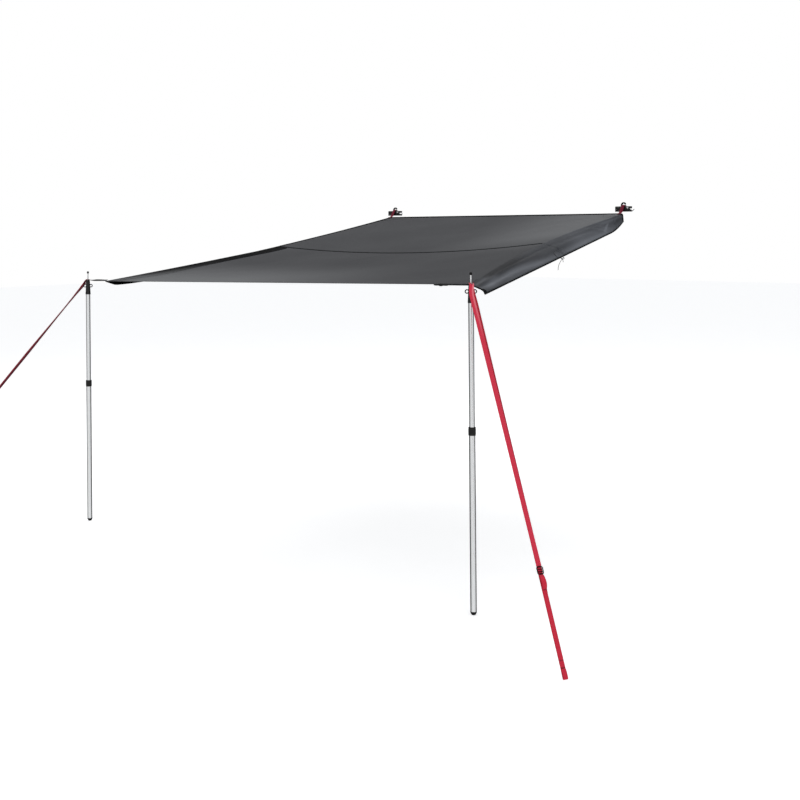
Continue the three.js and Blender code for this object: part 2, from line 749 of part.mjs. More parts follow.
function foot() {
  const plug = lowerInner - CLEARANCE;
  return turned([
    [0, 0],
    [FOOT_FLAT_RADIUS, 0],
    [lowerOuter - LOWER_WALL, FOOT_HEIGHT / 3],
    [lowerOuter, (FOOT_HEIGHT * 2) / 3],
    [lowerOuter, FOOT_HEIGHT],
    [plug, FOOT_HEIGHT],
    [plug, FOOT_HEIGHT + FOOT_PLUG],
    [0, FOOT_HEIGHT + FOOT_PLUG],
  ]);
}

function collar() {
  const outer = lowerOuter + COLLAR_WALL;
  const top = COLLAR_BOTTOM + COLLAR_HEIGHT;
  const ledge = top - COLLAR_LEDGE;
  const lowerBore = lowerOuter + CLEARANCE;
  const upperBore = upperOuter + CLEARANCE;
  return turned([
    [lowerBore, COLLAR_BOTTOM],
    [outer - COLLAR_CHAMFER, COLLAR_BOTTOM],
    [outer, COLLAR_BOTTOM + COLLAR_CHAMFER],
    [outer, top - COLLAR_CHAMFER],
    [outer - COLLAR_CHAMFER, top],
    [upperBore, top],
    [upperBore, ledge],
    [lowerBore, ledge],
    [lowerBore, COLLAR_BOTTOM],
  ]);
}

const upperTubeBottom = COLLAR_BOTTOM + COLLAR_HEIGHT - TUBE_INSERTION;

function innerLock() {
  const drum = lowerInner - CLEARANCE;
  const spigot = upperInner - CLEARANCE;
  const shoulder = upperTubeBottom - CLEARANCE;
  return turned([
    [0, shoulder - LOCK_LENGTH],
    [drum, shoulder - LOCK_LENGTH],
    [drum, shoulder],
    [spigot, shoulder],
    [spigot, shoulder + LOCK_SPIGOT],
    [0, shoulder + LOCK_SPIGOT],
  ]);
}

// The head's outer profile from its bottom edge to its spike hole, grown by a margin
function headOutline(tieHeight, margin) {
  const points = [
    [upperOuter + HEAD_WALL + margin, tieHeight - HEAD_HEIGHT],
    [HEAD_TOP_RADIUS + margin, domeHeight(tieHeight, HEAD_TOP_RADIUS)],
  ];
  const hole = spikeRadius + CLEARANCE;
  const rings = 4;
  for (let i = 1; i <= rings; i++) {
    const radius = HEAD_TOP_RADIUS + ((hole - HEAD_TOP_RADIUS) * i) / rings;
    points.push([radius, domeHeight(tieHeight, radius) + margin]);
  }
  return points;
}

function domeHeight(tieHeight, radius) {
  return tieHeight - HEAD_DOME_RADIUS + Math.sqrt(HEAD_DOME_RADIUS ** 2 - radius ** 2);
}

function head(tieHeight) {
  const bottom = tieHeight - HEAD_HEIGHT;
  const socket = upperOuter + CLEARANCE;
  const socketTop = bottom + HEAD_SOCKET + CLEARANCE;
  const spikeBottom = tieHeight - SPIKE_SOCKET - CLEARANCE;
  return turned([
    [0, socketTop],
    [socket, socketTop],
    [socket, bottom],
    ...headOutline(tieHeight, 0),
    [spikeRadius + CLEARANCE, spikeBottom],
    [0, spikeBottom],
  ]);
}

function spike(tieHeight) {
  const top = tieHeight + SPIKE_EXPOSED + CAP_SOCKET - CLEARANCE;
  return turned([
    [0, tieHeight - SPIKE_SOCKET],
    [spikeRadius, tieHeight - SPIKE_SOCKET],
    [spikeRadius, top],
    [0, top],
  ]);
}

function spikeCap(tieHeight) {
  const bottom = tieHeight + SPIKE_EXPOSED;
  const radius = CAP_DIAMETER / 2;
  const bore = spikeRadius + CLEARANCE;
  return turned([
    [0, bottom + CAP_SOCKET],
    [bore, bottom + CAP_SOCKET],
    [bore, bottom],
    [radius, bottom],
    [radius, bottom + CAP_HEIGHT - radius / 2],
    [radius * Math.SQRT1_2, bottom + CAP_HEIGHT],
    [0, bottom + CAP_HEIGHT],
  ]);
}

// A wire eye beside the head, its inner part cut away where the head stands
function wireEye(tieHeight, direction) {
  const points = Array.from({ length: EYE_STEPS }, (_, i) => {
    const angle = (2 * Math.PI * i) / EYE_STEPS;
    return new THREE.Vector3(
      direction * (EYE_REACH + EYE_RADIUS * Math.cos(angle)),
      0,
      tieHeight - EYE_DROP + EYE_RADIUS * Math.sin(angle),
    );
  });
  const extrudePath = new THREE.CatmullRomCurve3(points, true);
  const section = new THREE.Shape(regularPoints(EYE_WIRE / 2, WIRE_SIDES));
  const ring = new THREE.ExtrudeGeometry(section, { steps: EYE_STEPS, extrudePath });
  const post = turned([
    [0, tieHeight - HEAD_HEIGHT],
    ...headOutline(tieHeight, CLEARANCE),
    [0, tieHeight + CLEARANCE],
  ]);
  return cut(ring, post);
}

function addPole(side, x, tieHeight) {
  const pole = new THREE.Group();
  pole.position.set(x, poleY, 0);
  site.add(pole);
  const lowerBottom = FOOT_HEIGHT + CLEARANCE;
  const lowerTop = COLLAR_BOTTOM + COLLAR_HEIGHT - COLLAR_LEDGE - CLEARANCE;
  const upperTop = tieHeight - HEAD_HEIGHT + HEAD_SOCKET;
  piece(pole, side + "_pole_foot", foot(), RUBBER);
  const lowerTube = tube(lowerInner, lowerOuter, lowerBottom, lowerTop);
  piece(pole, side + "_pole_lower_tube", lowerTube, ALUMINIUM);
  piece(pole, side + "_pole_collar", collar(), BLACK_PLASTIC);
  piece(pole, side + "_pole_inner_lock", innerLock(), BLACK_PLASTIC);
  const upperTube = tube(upperInner, upperOuter, upperTubeBottom, upperTop);
  piece(pole, side + "_pole_upper_tube", upperTube, ALUMINIUM);
  piece(pole, side + "_pole_head", head(tieHeight), BLACK_PLASTIC);
  piece(pole, side + "_pole_spike", spike(tieHeight), STEEL);
  piece(pole, side + "_pole_cap", spikeCap(tieHeight), BLACK_PLASTIC);
  const eyes = { outer: 1, inner: -1 };
  for (const [place, direction] of Object.entries(eyes)) {
    const eye = piece(
      pole,
      side + "_pole_" + place + "_eye",
      wireEye(tieHeight, direction),
      BLACK_STEEL,
    );
    eye.rotation.z = EYE_TURN;
  }
}

// A guy's own axes: out is level and away from the pole, across is level, down runs along the guy
function guyAxes(poleX, tieHeight, reach) {
  const out = new THREE.Vector3(reach.x, reach.y, 0).normalize();
  const across = new THREE.Vector3(0, 0, 1).cross(out);
  const tabHeight =
    tieHeight + eyeletLift + EYELET_HEIGHT / 2 + CLEARANCE + WEBBING_THICKNESS / 2;
  const apex = new THREE.Vector3(poleX, poleY, tabHeight).addScaledVector(out, GUY_TAB_REACH);
  const foot = new THREE.Vector3(poleX + reach.x, poleY + reach.y, GROUND_GAP);
  const down = foot.clone().sub(apex);
  const length = down.length();
  down.normalize();
  const front = across.clone().cross(down).negate();
  return { out, across, apex, down, front, length, tabHeight };
}

// Shares of the way from the apex to the buckle, and of the spread between the two legs there
const LEG_SHARES = [
  [0.008, 0.05],
  [0.02, 0.3],
  [0.04, 0.8],
  [0.07, 1],
  [0.15, 0.92],
  [0.3, 0.76],
  [0.5, 0.54],
  [0.7, 0.32],
  [0.85, 0.16],
  [1, 0],
];

function legRoute(axes, side, layer) {
  const { apex, across, down, front, length } = axes;
  const run = length * BUCKLE_SHARE;
  const lift = (layer * (WEBBING_THICKNESS + WEBBING_GAP)) / 2;
  return LEG_SHARES.map(([along, spread]) =>
    apex
      .clone()
      .addScaledVector(down, run * along)
      .addScaledVector(across, side * GUY_SPREAD * spread)
      .addScaledVector(front, lift),
  );
}

// The front leg begins in a flat tab whose hole sits over the spike
function guyTab(axes, poleX) {
  const half = WEBBING_WIDTH / 2;
  const outline = new THREE.Shape();
  outline.moveTo(GUY_TAB_REACH, -half);
  outline.lineTo(GUY_TAB_REACH, half);
  outline.absarc(0, 0, half, Math.PI / 2, (3 * Math.PI) / 2, false);
  outline.closePath();
  const hole = new THREE.Path();
  hole.absarc(0, 0, spikeRadius + GUY_HOLE_PLAY, 0, 2 * Math.PI, true);
  outline.holes.push(hole);
  return new THREE.ExtrudeGeometry(outline, {
    depth: WEBBING_THICKNESS,
    bevelEnabled: false,
    curveSegments: WIRE_SIDES,
  })
    .translate(0, 0, -WEBBING_THICKNESS / 2)
    .rotateZ(Math.atan2(axes.out.y, axes.out.x))
    .translate(poleX, poleY, axes.tabHeight);
}

function ladderLock() {
  const [halfWidth, halfLength] = [BUCKLE_WIDTH / 2, BUCKLE_LENGTH / 2];
  const frame = new THREE.Shape();
  const corner = BUCKLE_RAIL;
  frame.moveTo(corner - halfWidth, -halfLength);
  frame.lineTo(halfWidth - corner, -halfLength);
  frame.lineTo(halfWidth, corner - halfLength);
  frame.lineTo(halfWidth, halfLength - corner);
  frame.lineTo(halfWidth - corner, halfLength);
  frame.lineTo(corner - halfWidth, halfLength);
  frame.lineTo(-halfWidth, halfLength - corner);
  frame.lineTo(-halfWidth, corner - halfLength);
  frame.closePath();
  const slots = 2;
  const slotHeight = (BUCKLE_LENGTH - (slots + 1) * BUCKLE_BAR) / slots;
  for (let i = 0; i < slots; i++) {
    const low = BUCKLE_BAR - halfLength + i * (slotHeight + BUCKLE_BAR);
    const slot = new THREE.Path();
    slot.moveTo(BUCKLE_RAIL - halfWidth, low);
    slot.lineTo(BUCKLE_RAIL - halfWidth, low + slotHeight);
    slot.lineTo(halfWidth - BUCKLE_RAIL, low + slotHeight);
    slot.lineTo(halfWidth - BUCKLE_RAIL, low);
    slot.closePath();
    frame.holes.push(slot);
  }
  return new THREE.ExtrudeGeometry(frame, { depth: BUCKLE_THICKNESS, bevelEnabled: false });
}

// The free end of the webbing bulges out below the buckle and comes back to lie on the strap.
// Shares of the tail's length and of its bulge
const TAIL_SHARES = [
  [0, 0.1],
  [0.12, 0.5],
  [0.35, 0.92],
  [0.58, 1],
  [0.78, 0.66],
  [0.88, 0.22],
  [0.98, 0.045],
  [1.15, 0.045],
];

function addGuy(side, poleX, tieHeight, reach) {
  const axes = guyAxes(poleX, tieHeight, reach);
  const { apex, across, down, front, length } = axes;
  const buckleTop = length * BUCKLE_SHARE + CLEARANCE;
  const nearSide = Math.sign(poleX) * -1;
  const level = apex.clone().addScaledVector(axes.out, -WEBBING_THICKNESS * 2);
  const frontRoute = [level, ...legRoute(axes, nearSide, 1)];
  const strapOf = (route, steps) =>
    webbing(route, across, WEBBING_WIDTH, WEBBING_THICKNESS, steps);
  const frontLeg = joined(strapOf(frontRoute, 44), guyTab(axes, poleX));
  piece(site, side + "_guy_front_leg", frontLeg, RED_WEBBING);
  const backLeg = strapOf(legRoute(axes, -nearSide, -1).slice(1), 40);
  piece(site, side + "_guy_back_leg", backLeg, RED_WEBBING);

  const upright = new THREE.Matrix4().makeBasis(across, down.clone().negate(), front);
  const buckle = ladderLock().applyMatrix4(upright);
  const buckleMiddle = apex.clone().addScaledVector(down, buckleTop + BUCKLE_LENGTH / 2);
  piece(site, side + "_guy_buckle", buckle, BLACK_PLASTIC).position.copy(buckleMiddle);

  const onGuy = (along, lift) =>
    apex.clone().addScaledVector(down, along).addScaledVector(front, lift);
  const tailTop = buckleTop + BUCKLE_LENGTH + TAIL_START;
  const tailRoute = TAIL_SHARES.map(([along, bulge]) =>
    onGuy(tailTop + TAIL_LENGTH * along, TAIL_BULGE * bulge),
  );
  piece(site, side + "_guy_tail", strapOf(tailRoute, 22), RED_WEBBING);

  const behind = -(WEBBING_THICKNESS / 2 + CLEARANCE);
  const loopTop = length - PEG_LOOP_LENGTH;
  const strap = strapOf(
    [onGuy(buckleTop, behind), onGuy((buckleTop + loopTop) / 2, behind), onGuy(loopTop + OVERRUN, behind)],
    12,
  );
  const ring = new THREE.ExtrudeGeometry(
    ovalRing(PEG_LOOP_LENGTH, PEG_LOOP_DEPTH, WEBBING_THICKNESS),
    { depth: WEBBING_WIDTH, bevelEnabled: false, curveSegments: WIRE_SIDES },
  ).translate(0, 0, -WEBBING_WIDTH / 2);
  const alongGuy = new THREE.Matrix4().makeBasis(down, front, across.clone().negate());
  ring.applyMatrix4(alongGuy);
  ring.translate(...onGuy(length - PEG_LOOP_LENGTH / 2, behind));
  piece(site, side + "_guy_lower_strap", joined(strap, ring), RED_WEBBING);
}

addPanels();
addFlaps();
addCornerTab(
  "right_corner_tab",
  "right_corner_eyelet",
  rightRidge(1),
  rightPoleX,
  RIGHT_TIE_HEIGHT,
);
addCornerTab("left_corner_strap", "left_corner_eyelet", leftRidge(1), leftPoleX, LEFT_TIE_HEIGHT);
const knot = addTieLoop("right_tie_loop", rightFlapSurface, RIGHT_TIE_SHARE);
addTieLoop("left_tie_loop", leftFlapSurface, LEFT_TIE_SHARE);
addTieCord(knot);
addRollup();
addClamp("right", CLAMP_REACH, rightRidge);
addClamp("left", -CLAMP_REACH, leftRidge);
addPole("right", rightPoleX, RIGHT_TIE_HEIGHT);
addPole("left", leftPoleX, LEFT_TIE_HEIGHT);
addGuy("right", rightPoleX, RIGHT_TIE_HEIGHT, RIGHT_GUY_REACH);
addGuy("left", leftPoleX, LEFT_TIE_HEIGHT, LEFT_GUY_REACH);

export default awning;
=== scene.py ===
import json
import math
import bpy
import numpy as np
from mathutils import Matrix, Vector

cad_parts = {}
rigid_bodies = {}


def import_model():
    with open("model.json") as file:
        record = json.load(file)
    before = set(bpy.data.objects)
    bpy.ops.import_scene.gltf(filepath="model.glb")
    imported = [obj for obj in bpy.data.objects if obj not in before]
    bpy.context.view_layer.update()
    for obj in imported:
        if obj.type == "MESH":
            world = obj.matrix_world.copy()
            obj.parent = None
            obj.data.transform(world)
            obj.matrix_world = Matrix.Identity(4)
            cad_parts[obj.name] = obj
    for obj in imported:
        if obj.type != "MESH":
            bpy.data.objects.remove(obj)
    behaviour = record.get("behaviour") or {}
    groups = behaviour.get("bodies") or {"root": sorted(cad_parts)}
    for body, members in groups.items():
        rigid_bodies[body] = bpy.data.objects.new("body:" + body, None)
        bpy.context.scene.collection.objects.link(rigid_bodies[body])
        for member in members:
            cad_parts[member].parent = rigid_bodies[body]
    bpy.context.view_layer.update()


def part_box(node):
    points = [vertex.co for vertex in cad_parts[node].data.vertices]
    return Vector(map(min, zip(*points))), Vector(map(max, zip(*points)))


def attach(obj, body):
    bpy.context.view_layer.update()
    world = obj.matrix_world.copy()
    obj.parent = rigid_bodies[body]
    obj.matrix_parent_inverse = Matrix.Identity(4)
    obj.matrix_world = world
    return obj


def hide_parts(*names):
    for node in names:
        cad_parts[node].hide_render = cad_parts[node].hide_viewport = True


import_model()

# %% [markdown]
# # An awning sheet on two poles, a lesson in cells
# A dark coated sheet hangs from two clamps at its rear edge. Two telescopic poles carry its
# front corners, and a red webbing guy braces each pole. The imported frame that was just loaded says
# where every part is, so each cell below only has to make a part look like the real thing there.
# Every length is in metres, +Z is up, +X runs along the rear edge and +Y points to the rear.

# %% [markdown]
# ## Places that several parts share
# An awning is pitched by measure: the ground, the pole axes and the height at which each corner is
# tied decide everything else. Naming those few places once, and working the rest out from them,
# keeps the webbing, the sheet and the poles meeting where they should.

# %% Ground, poles and tie heights
MM = 0.001
SIDES = ("right", "left")
OUTWARD = {"right": 1.0, "left": -1.0}
GROUND = -1.974
POLE_REACH, POLE_Y = 1.5, -2.501
TIE_HEIGHT = {"right": -0.391, "left": -0.436}


def place(x, y, z):
    """A point in the frame, as an array."""
    return np.array([x, y, z], float)


def unit(v):
    """Each vector divided by its own length."""
    v = np.asarray(v, float)
    return v / np.maximum(np.linalg.norm(v, axis=-1, keepdims=True), 1e-12)


overhead, sideways, rearwards = place(0, 0, 1), place(1, 0, 0), place(0, 1, 0)
print("tie heights over the ground", {s: round(TIE_HEIGHT[s] - GROUND, 3) for s in SIDES})

# %% [markdown]
# ## The camera
# The photograph was taken level, with the horizon moved up the frame, so both poles stay upright in
# it. A camera that looks down would make them converge, so this one stays level and its lens is
# shifted, as an architect's view camera does it. The half degree of roll is the tilt that both
# poles share in the photograph.

# %% Camera at the photograph's place
HEADING, ROLL = math.radians(38.875), math.radians(-0.476)
CAMERA_PLACE = place(4.7294, -7.0547, -0.1247)
LENS_TO_SENSOR, LENS_SHIFT, CLIP = 1.4551, (0.0018, -0.2139), (0.1, 100.0)
ahead = place(-math.sin(HEADING), math.cos(HEADING), 0)
level = place(math.cos(HEADING), math.sin(HEADING), 0)

lens = bpy.data.cameras.new("photo_camera")
lens.lens = LENS_TO_SENSOR * lens.sensor_width
lens.shift_x, lens.shift_y = LENS_SHIFT
lens.clip_start, lens.clip_end = CLIP


def stand(name, data, across, up, back, position):
    """An object at a position, whose own x, y and z point along across, up and back."""
    made = bpy.data.objects.new(name, data)
    bpy.context.scene.collection.objects.link(made)
    turn = np.eye(4)
    turn[:3] = np.stack([across, up, back, position], 1)
    made.matrix_world = Matrix(turn.tolist())
    return made


camera_across = math.cos(ROLL) * level + math.sin(ROLL) * overhead
camera_up = math.cos(ROLL) * overhead - math.sin(ROLL) * level
camera = stand("photo_camera", lens, camera_across, camera_up, -ahead, CAMERA_PLACE)
bpy.context.scene.camera = camera
print("lens", round(lens.lens, 2), "mm, shift", LENS_SHIFT)

# %% [markdown]
# ## Putting numpy arrays into meshes
# Every new piece is a grid of points: a surface worked out from two parameters, or a profile that
# is carried along a path. Working with whole arrays keeps the shape in one formula, where placing
# vertices one by one would hide it. The helpers below turn such a grid into a mesh, with faces that
# point outwards and with a UV map in metres, so that a weave can follow the surface.

# %% From a grid of points to a mesh
def grid_faces(rows, columns, wrap_rows=False, wrap_columns=False):
    """Quads between neighbouring points of a grid; a wrapped direction closes on itself."""
    i = np.arange(rows if wrap_rows else rows - 1)[:, None]
    j = np.arange(columns if wrap_columns else columns - 1)[None, :]
    corner = lambda a, b: (a % rows) * columns + b % columns
    quads = [corner(i, j), corner(i + 1, j), corner(i + 1, j + 1), corner(i, j + 1)]
    return np.stack(quads, -1).reshape(-1, 4)


def turned_outwards(points, faces):
    """Reverses a closed mesh's faces if its volume, the sum of a . (b x c) / 6, is below zero."""
    fans = [(face[0], face[k], face[k + 1]) for face in faces for k in range(1, len(face) - 1)]
    a, b, c = (points[np.array(corner)] for corner in zip(*fans))
    return faces if (a * np.cross(b, c)).sum() > 0 else [face[::-1] for face in faces]


def mesh_piece(name, points, faces, uv=None, closed=True):
    """A smooth mesh object at the origin; uv holds one pair for each vertex, in metres."""
    points = points.reshape(-1, 3)
    faces = [list(map(int, face)) for face in faces]
    if closed:
        faces = turned_outwards(points, faces)
    mesh = bpy.data.meshes.new(name)
    mesh.from_pydata(points.tolist(), [], faces)
    if uv is not None:
        corners = np.zeros(len(mesh.loops), np.int32)
        mesh.loops.foreach_get("vertex_index", corners)
        layer = mesh.uv_layers.new(name="cloth")
        layer.data.foreach_set("uv", uv.reshape(-1, 2).astype(np.float32)[corners].ravel())
    mesh.polygons.foreach_set("use_smooth", np.ones(len(mesh.polygons), bool))
    mesh.update()
    piece = bpy.data.objects.new(name, mesh)
    bpy.context.scene.collection.objects.link(piece)
    return piece


def layer_of_cloth(name, points, uv, thickness, wrap_columns=False, turned=False):
    """An open grid of points as cloth of an even thickness, half of it on each side of the grid."""
    faces = grid_faces(*points.shape[:2], wrap_columns=wrap_columns)
    piece = mesh_piece(name, points, faces[:, ::-1] if turned else faces, uv, closed=False)
    solid = piece.modifiers.new("thickness", "SOLIDIFY")
    solid.thickness, solid.offset, solid.use_even_offset = thickness, 0.0, False
    return piece


print("a grid of 3 by 4 points makes", len(grid_faces(3, 4)), "faces")

# %% A smooth path through chosen points, and the directions along it
def smooth_path(points, step):
    """A cubic Hermite curve through points, each slope that of the line between its neighbours."""
    points = np.asarray(points, float)
    knots = run_along(points)
    slopes = np.gradient(points, knots, axis=0)
    at = np.linspace(0, knots[-1], max(4, int(knots[-1] / step) + 1))
    i = np.clip(np.searchsorted(knots, at, side="right") - 1, 0, len(knots) - 2)
    span = (knots[i + 1] - knots[i])[:, None]
    t = (at - knots[i])[:, None] / span
    return (
        points[i] * (2 * t**3 - 3 * t**2 + 1)
        + slopes[i] * span * (t**3 - 2 * t**2 + t)
        + points[i + 1] * (3 * t**2 - 2 * t**3)
        + slopes[i + 1] * span * (t**3 - t**2)
    )


def tangents(path):
    """The direction along a path at each of its points."""
    return unit(np.gradient(path, axis=0))


def run_along(path):
    """The distance travelled along a path at each of its points."""
    return np.concatenate([[0], np.cumsum(np.linalg.norm(np.diff(path, axis=0), axis=1))])


def with_ends(faces, rows, columns):
    """A tube's faces, with one more face over each of its open ends."""
    last = (rows - 1) * columns
    return faces.tolist() + [list(range(columns)), list(range(last, last + columns))[::-1]]


def swept(name, path, across, profile, closed_path=False):
    """Carries a profile of (across, lift) pairs along a path; lift is at right angles to both."""
    path, profile = np.asarray(path, float), np.asarray(profile, float)
    along = unit(np.roll(path, -1, 0) - np.roll(path, 1, 0)) if closed_path else tangents(path)
    across = np.broadcast_to(np.asarray(across, float), path.shape)
    across = unit(across - (across * along).sum(1, keepdims=True) * along)
    lift = np.cross(across, along)
    profile = np.broadcast_to(profile, (len(path),) + profile.shape[-2:])
    ring = path[:, None] + profile[..., :1] * across[:, None] + profile[..., 1:] * lift[:, None]
    rows, columns = ring.shape[:2]
    faces = grid_faces(rows, columns, wrap_rows=closed_path, wrap_columns=True)
    uv = [profile[..., 0], np.broadcast_to(run_along(path)[:, None], (rows, columns))]
    faces = faces if closed_path else with_ends(faces, rows, columns)
    return mesh_piece(name, ring, faces, np.stack(uv, -1))


print("meshes come from grids")

# %% Profiles to carry along a path
def around(count):
    """Angles once round a circle, without the last, which would repeat the first."""
    return np.linspace(0, 2 * np.pi, count, endpoint=False)


def round_profile(radius, sides=12, flat=1.0):
    """A circle, flattened in its lift direction by a share."""
    angle = around(sides)
    return np.stack([radius * np.cos(angle), radius * flat * np.sin(angle)], -1)


def bar_profile(half_width, half_height, sides=20):
    """A rounded rectangle: cos and sin to the power 0.55, keeping their signs."""
    soft = lambda v: np.sign(v) * np.abs(v) ** 0.55
    angle = around(sides)
    return np.stack([half_width * soft(np.cos(angle)), half_height * soft(np.sin(angle))], -1)


def band_profile(width, thickness, cells=8):
    """Round a flat band: half thickness falls as (1 - |x|^6)^0.5 to each edge, above and below."""
    x = np.sin(np.linspace(-np.pi / 2, np.pi / 2, cells + 1))
    half = thickness / 2 * np.sqrt(np.maximum(1 - np.abs(x) ** 6, 0.02))
    top = np.stack([x * width / 2, half], -1)
    return np.concatenate([top, top[::-1] * [1, -1]])


print("points in a band's section", len(band_profile(1, 1)))

# %% From a mesh to a finished piece
def dressed(piece, material, slot, body, *nodes):
    """Gives a piece its material, lets it ride a body and take the place of nodes; slot is not used.
    """
    piece.data.materials.append(material)
    if nodes:
        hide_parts(*nodes)
    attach(piece, body)
    return piece


def joined_pieces(name, pieces):
    """Several meshes as one object that keeps their UV maps and materials."""
    for one in bpy.context.scene.objects:
        one.select_set(one in pieces)
    bpy.context.view_layer.objects.active = pieces[0]
    bpy.ops.object.join()
    pieces[0].name = pieces[0].data.name = name
    pieces[0].select_set(False)
    return pieces[0]


# %% [markdown]
# ## Colours and nodes
# A real finish is described by a colour, a roughness and a pattern of a known size. Screen colours
# are sRGB, while a shader works in linear light, so one function converts every hex colour that is
# read off the object. One other function adds a node with its settings and links, which keeps each
# material below as short as its description.

# %% Hex colours and one node-adding function
def linear(hex_colour):
    """sRGB to linear light: c / 12.92 below 0.04045, and ((c + 0.055) / 1.055) ^ 2.4 above it."""
    c = np.array([int(hex_colour[i : i + 2], 16) for i in (1, 3, 5)]) / 255
    return (*np.where(c <= 0.04045, c / 12.92, ((c + 0.055) / 1.055) ** 2.4).tolist(), 1.0)


def set_inputs(node, inputs):
    """Fills a node's inputs, each named or numbered, with a value or a link from another node."""
    for socket, value in dict(inputs).items():
        if isinstance(value, bpy.types.NodeSocket):
            node.id_data.links.new(value, node.inputs[socket])
        else:
            node.inputs[socket].default_value = value


def add_node(tree, kind, inputs=(), out=0, stops=(), **settings):
    """Adds a node and returns an output of it; stops are a colour ramp's (position, hex) pairs."""
    node = tree.nodes.new("ShaderNode" + kind)
    for key, value in settings.items():
        setattr(node, key, value)
    set_inputs(node, inputs)
    for k, (position, hex_colour) in enumerate(stops):
        ramp = node.color_ramp.elements
        element = ramp[k] if k < len(ramp) else ramp.new(position)
        element.position, element.color = position, linear(hex_colour)
    return node.outputs[out] if node.outputs else node


def new_material(name, colour, roughness, inputs=()):
    """A Principled material: the material, its node tree and its shader."""
    material = bpy.data.materials.new(name)
    material.use_nodes = True
    shader = material.node_tree.nodes["Principled BSDF"]
    set_inputs(shader, {"Base Color": linear(colour), "Roughness": roughness, **dict(inputs)})
    return material, material.node_tree, shader


def shade_by(shader, pattern, dark, light, rough=None):
    """A pattern of 0 to 1 moves the colour from dark to light, and the roughness over its range."""
    stops = [(0.3, dark), (0.7, light)]
    driven = {"Base Color": add_node(shader.id_data, "ValToRGB", {"Fac": pattern}, stops=stops)}
    if rough:
        span = {"Value": pattern, "To Min": rough[0], "To Max": rough[1]}
        driven["Roughness"] = add_node(shader.id_data, "MapRange", span)
    set_inputs(shader, driven)


print("white is", linear("#ffffff"))

# %% [markdown]
# ## Coated awning cloth
# The sheet is solution-dyed polyester, plain woven and coated: a dull, slightly uneven dark grey
# with a soft sheen where it turns away. The threads are 0.4 mm apart, which this picture can't
# show, so the weave is drawn 2 mm apart and faint. Broad, low noise gives the handling creases that
# a folded sheet keeps. Light and shade are also painted into the colour: every cloth mesh carries a
# number of painted light and shade, which moves the colour along a ramp from dark to light. The
# hanging flaps have a bluer ramp, a painted reflection of the sky.

# %% Cloth materials
def cloth_material(name, dark, light, roughness, gloss, crease):
    """Woven, coated cloth on the piece's UV map; its painted light and shade moves it from dark (0)
    to light (1).
    """
    material, tree, shader = new_material(name, light, roughness, {"Specular IOR Level": gloss})
    uv = add_node(tree, "UVMap", uv_map="cloth")
    painted_light_and_shade = add_node(tree, "Attribute", out="Fac", attribute_name="painted_light_and_shade")
    broad = {"Vector": uv, "Scale": 2.2, "Detail": 4.0, "Roughness": 0.55}
    fine = {"Vector": uv, "Scale": 60.0, "Detail": 3.0, "Roughness": 0.6}
    broad, fine = add_node(tree, "TexNoise", broad), add_node(tree, "TexNoise", fine)
    stains = add_node(tree, "MapRange", {"Value": broad, "To Min": -0.12, "To Max": 0.12})
    flecks = add_node(tree, "MapRange", {"Value": fine, "To Min": -0.05, "To Max": 0.05})
    uneven = add_node(tree, "Math", {0: stains, 1: flecks}, operation="ADD")
    shade = add_node(tree, "Math", {0: painted_light_and_shade, 1: uneven}, operation="ADD")
    # A wave texture of scale 1 repeats every 0.314 m, so at 160 the threads are 2 mm apart
    thread = {"Vector": uv, "Scale": 160.0, "Distortion": 0.4}
    warp, weft = (add_node(tree, "TexWave", thread, "Fac", bands_direction=way) for way in "XY")
    weave = add_node(tree, "Math", {0: warp, 1: weft}, operation="MULTIPLY")
    bent = {"Vector": uv, "Scale": 9.0, "Detail": 5.0, "Roughness": 0.5, "Distortion": 0.6}
    bent = {"Height": add_node(tree, "TexNoise", bent), "Distance": crease, "Strength": 0.5}
    creased = add_node(tree, "Bump", bent)
    woven = {"Height": weave, "Distance": 0.12 * MM, "Strength": 0.35, "Normal": creased}
    rough = {"Value": broad, "To Min": roughness - 0.06, "To Max": roughness + 0.08}
    set_inputs(shader, {
        "Base Color": add_node(tree, "ValToRGB", {"Fac": shade}, stops=[(0.0, dark), (1.0, light)]),
        "Roughness": add_node(tree, "MapRange", rough),
        "Normal": add_node(tree, "Bump", woven),
    })
    return material


# Name, dark and light colour, roughness, gloss, and how high its creases are in millimetres
# Each cloth's colour runs from its dark to its light colour by the painted light and shade
CLOTHS = [
    ("coated_polyester_cloth", "#48484a", "#7a7b7c", 0.85, 0.05, 2.2),
    # The flap's copy of the cloth has a bluer ramp: a painted reflection of the sky
    ("coated_polyester_cloth_with_painted_sky", "#292a2d", "#797c82", 0.6, 0.12, 3.0),
    # Near-black patch cloth for hems and patches, also used as painted shade on the left flap
    ("heavy_patch_cloth", "#111213", "#2a2b2d", 0.75, 0.08, 1.0),
    # A near-black cloth for the strip of painted shade on the left fold
    ("painted_shade_strip_cloth", "#131415", "#707172", 0.8, 0.05, 1.0),
    ("felled_seam_cloth", "#2a2a2c", "#3a3a3c", 0.8, 0.05, 1.0),
]
canopy_cloth, flap_cloth, patch_cloth, painted_shade_cloth, seam_cloth = (
    cloth_material(*look, crease * MM) for *look, crease in CLOTHS
)
print("cloths", [name for name, *_ in CLOTHS])

# %% [markdown]
# ## Threads, metals, mouldings and rubber
# The other finishes differ in their colours and in their grain. Drawn aluminium has marks that
# run along the tube, so its reflections stretch sideways, and moulded nylon has an even, fine
# spark-eroded grain. A rubber or a dull coating is rougher where its grain is high. Each grain
# is noise on Object coordinates, about one speck to a millimetre.

# %% Finishes with a grain
def grain_of(tree, scale, detail=2.0, **more):
    """Noise on Object coordinates, stretched along Z where it is told so."""
    place_on_it = add_node(tree, "TexCoord", out="Object")
    if "stretch" in more:
        drawn = {"Vector": place_on_it, "Scale": (scale, scale, scale / more["stretch"])}
        place_on_it, scale = add_node(tree, "Mapping", drawn), 1.0
    look = {"Vector": place_on_it, "Scale": scale, "Detail": detail}
    return add_node(tree, "TexNoise", {**look, "Roughness": more.get("rough", 0.5)})


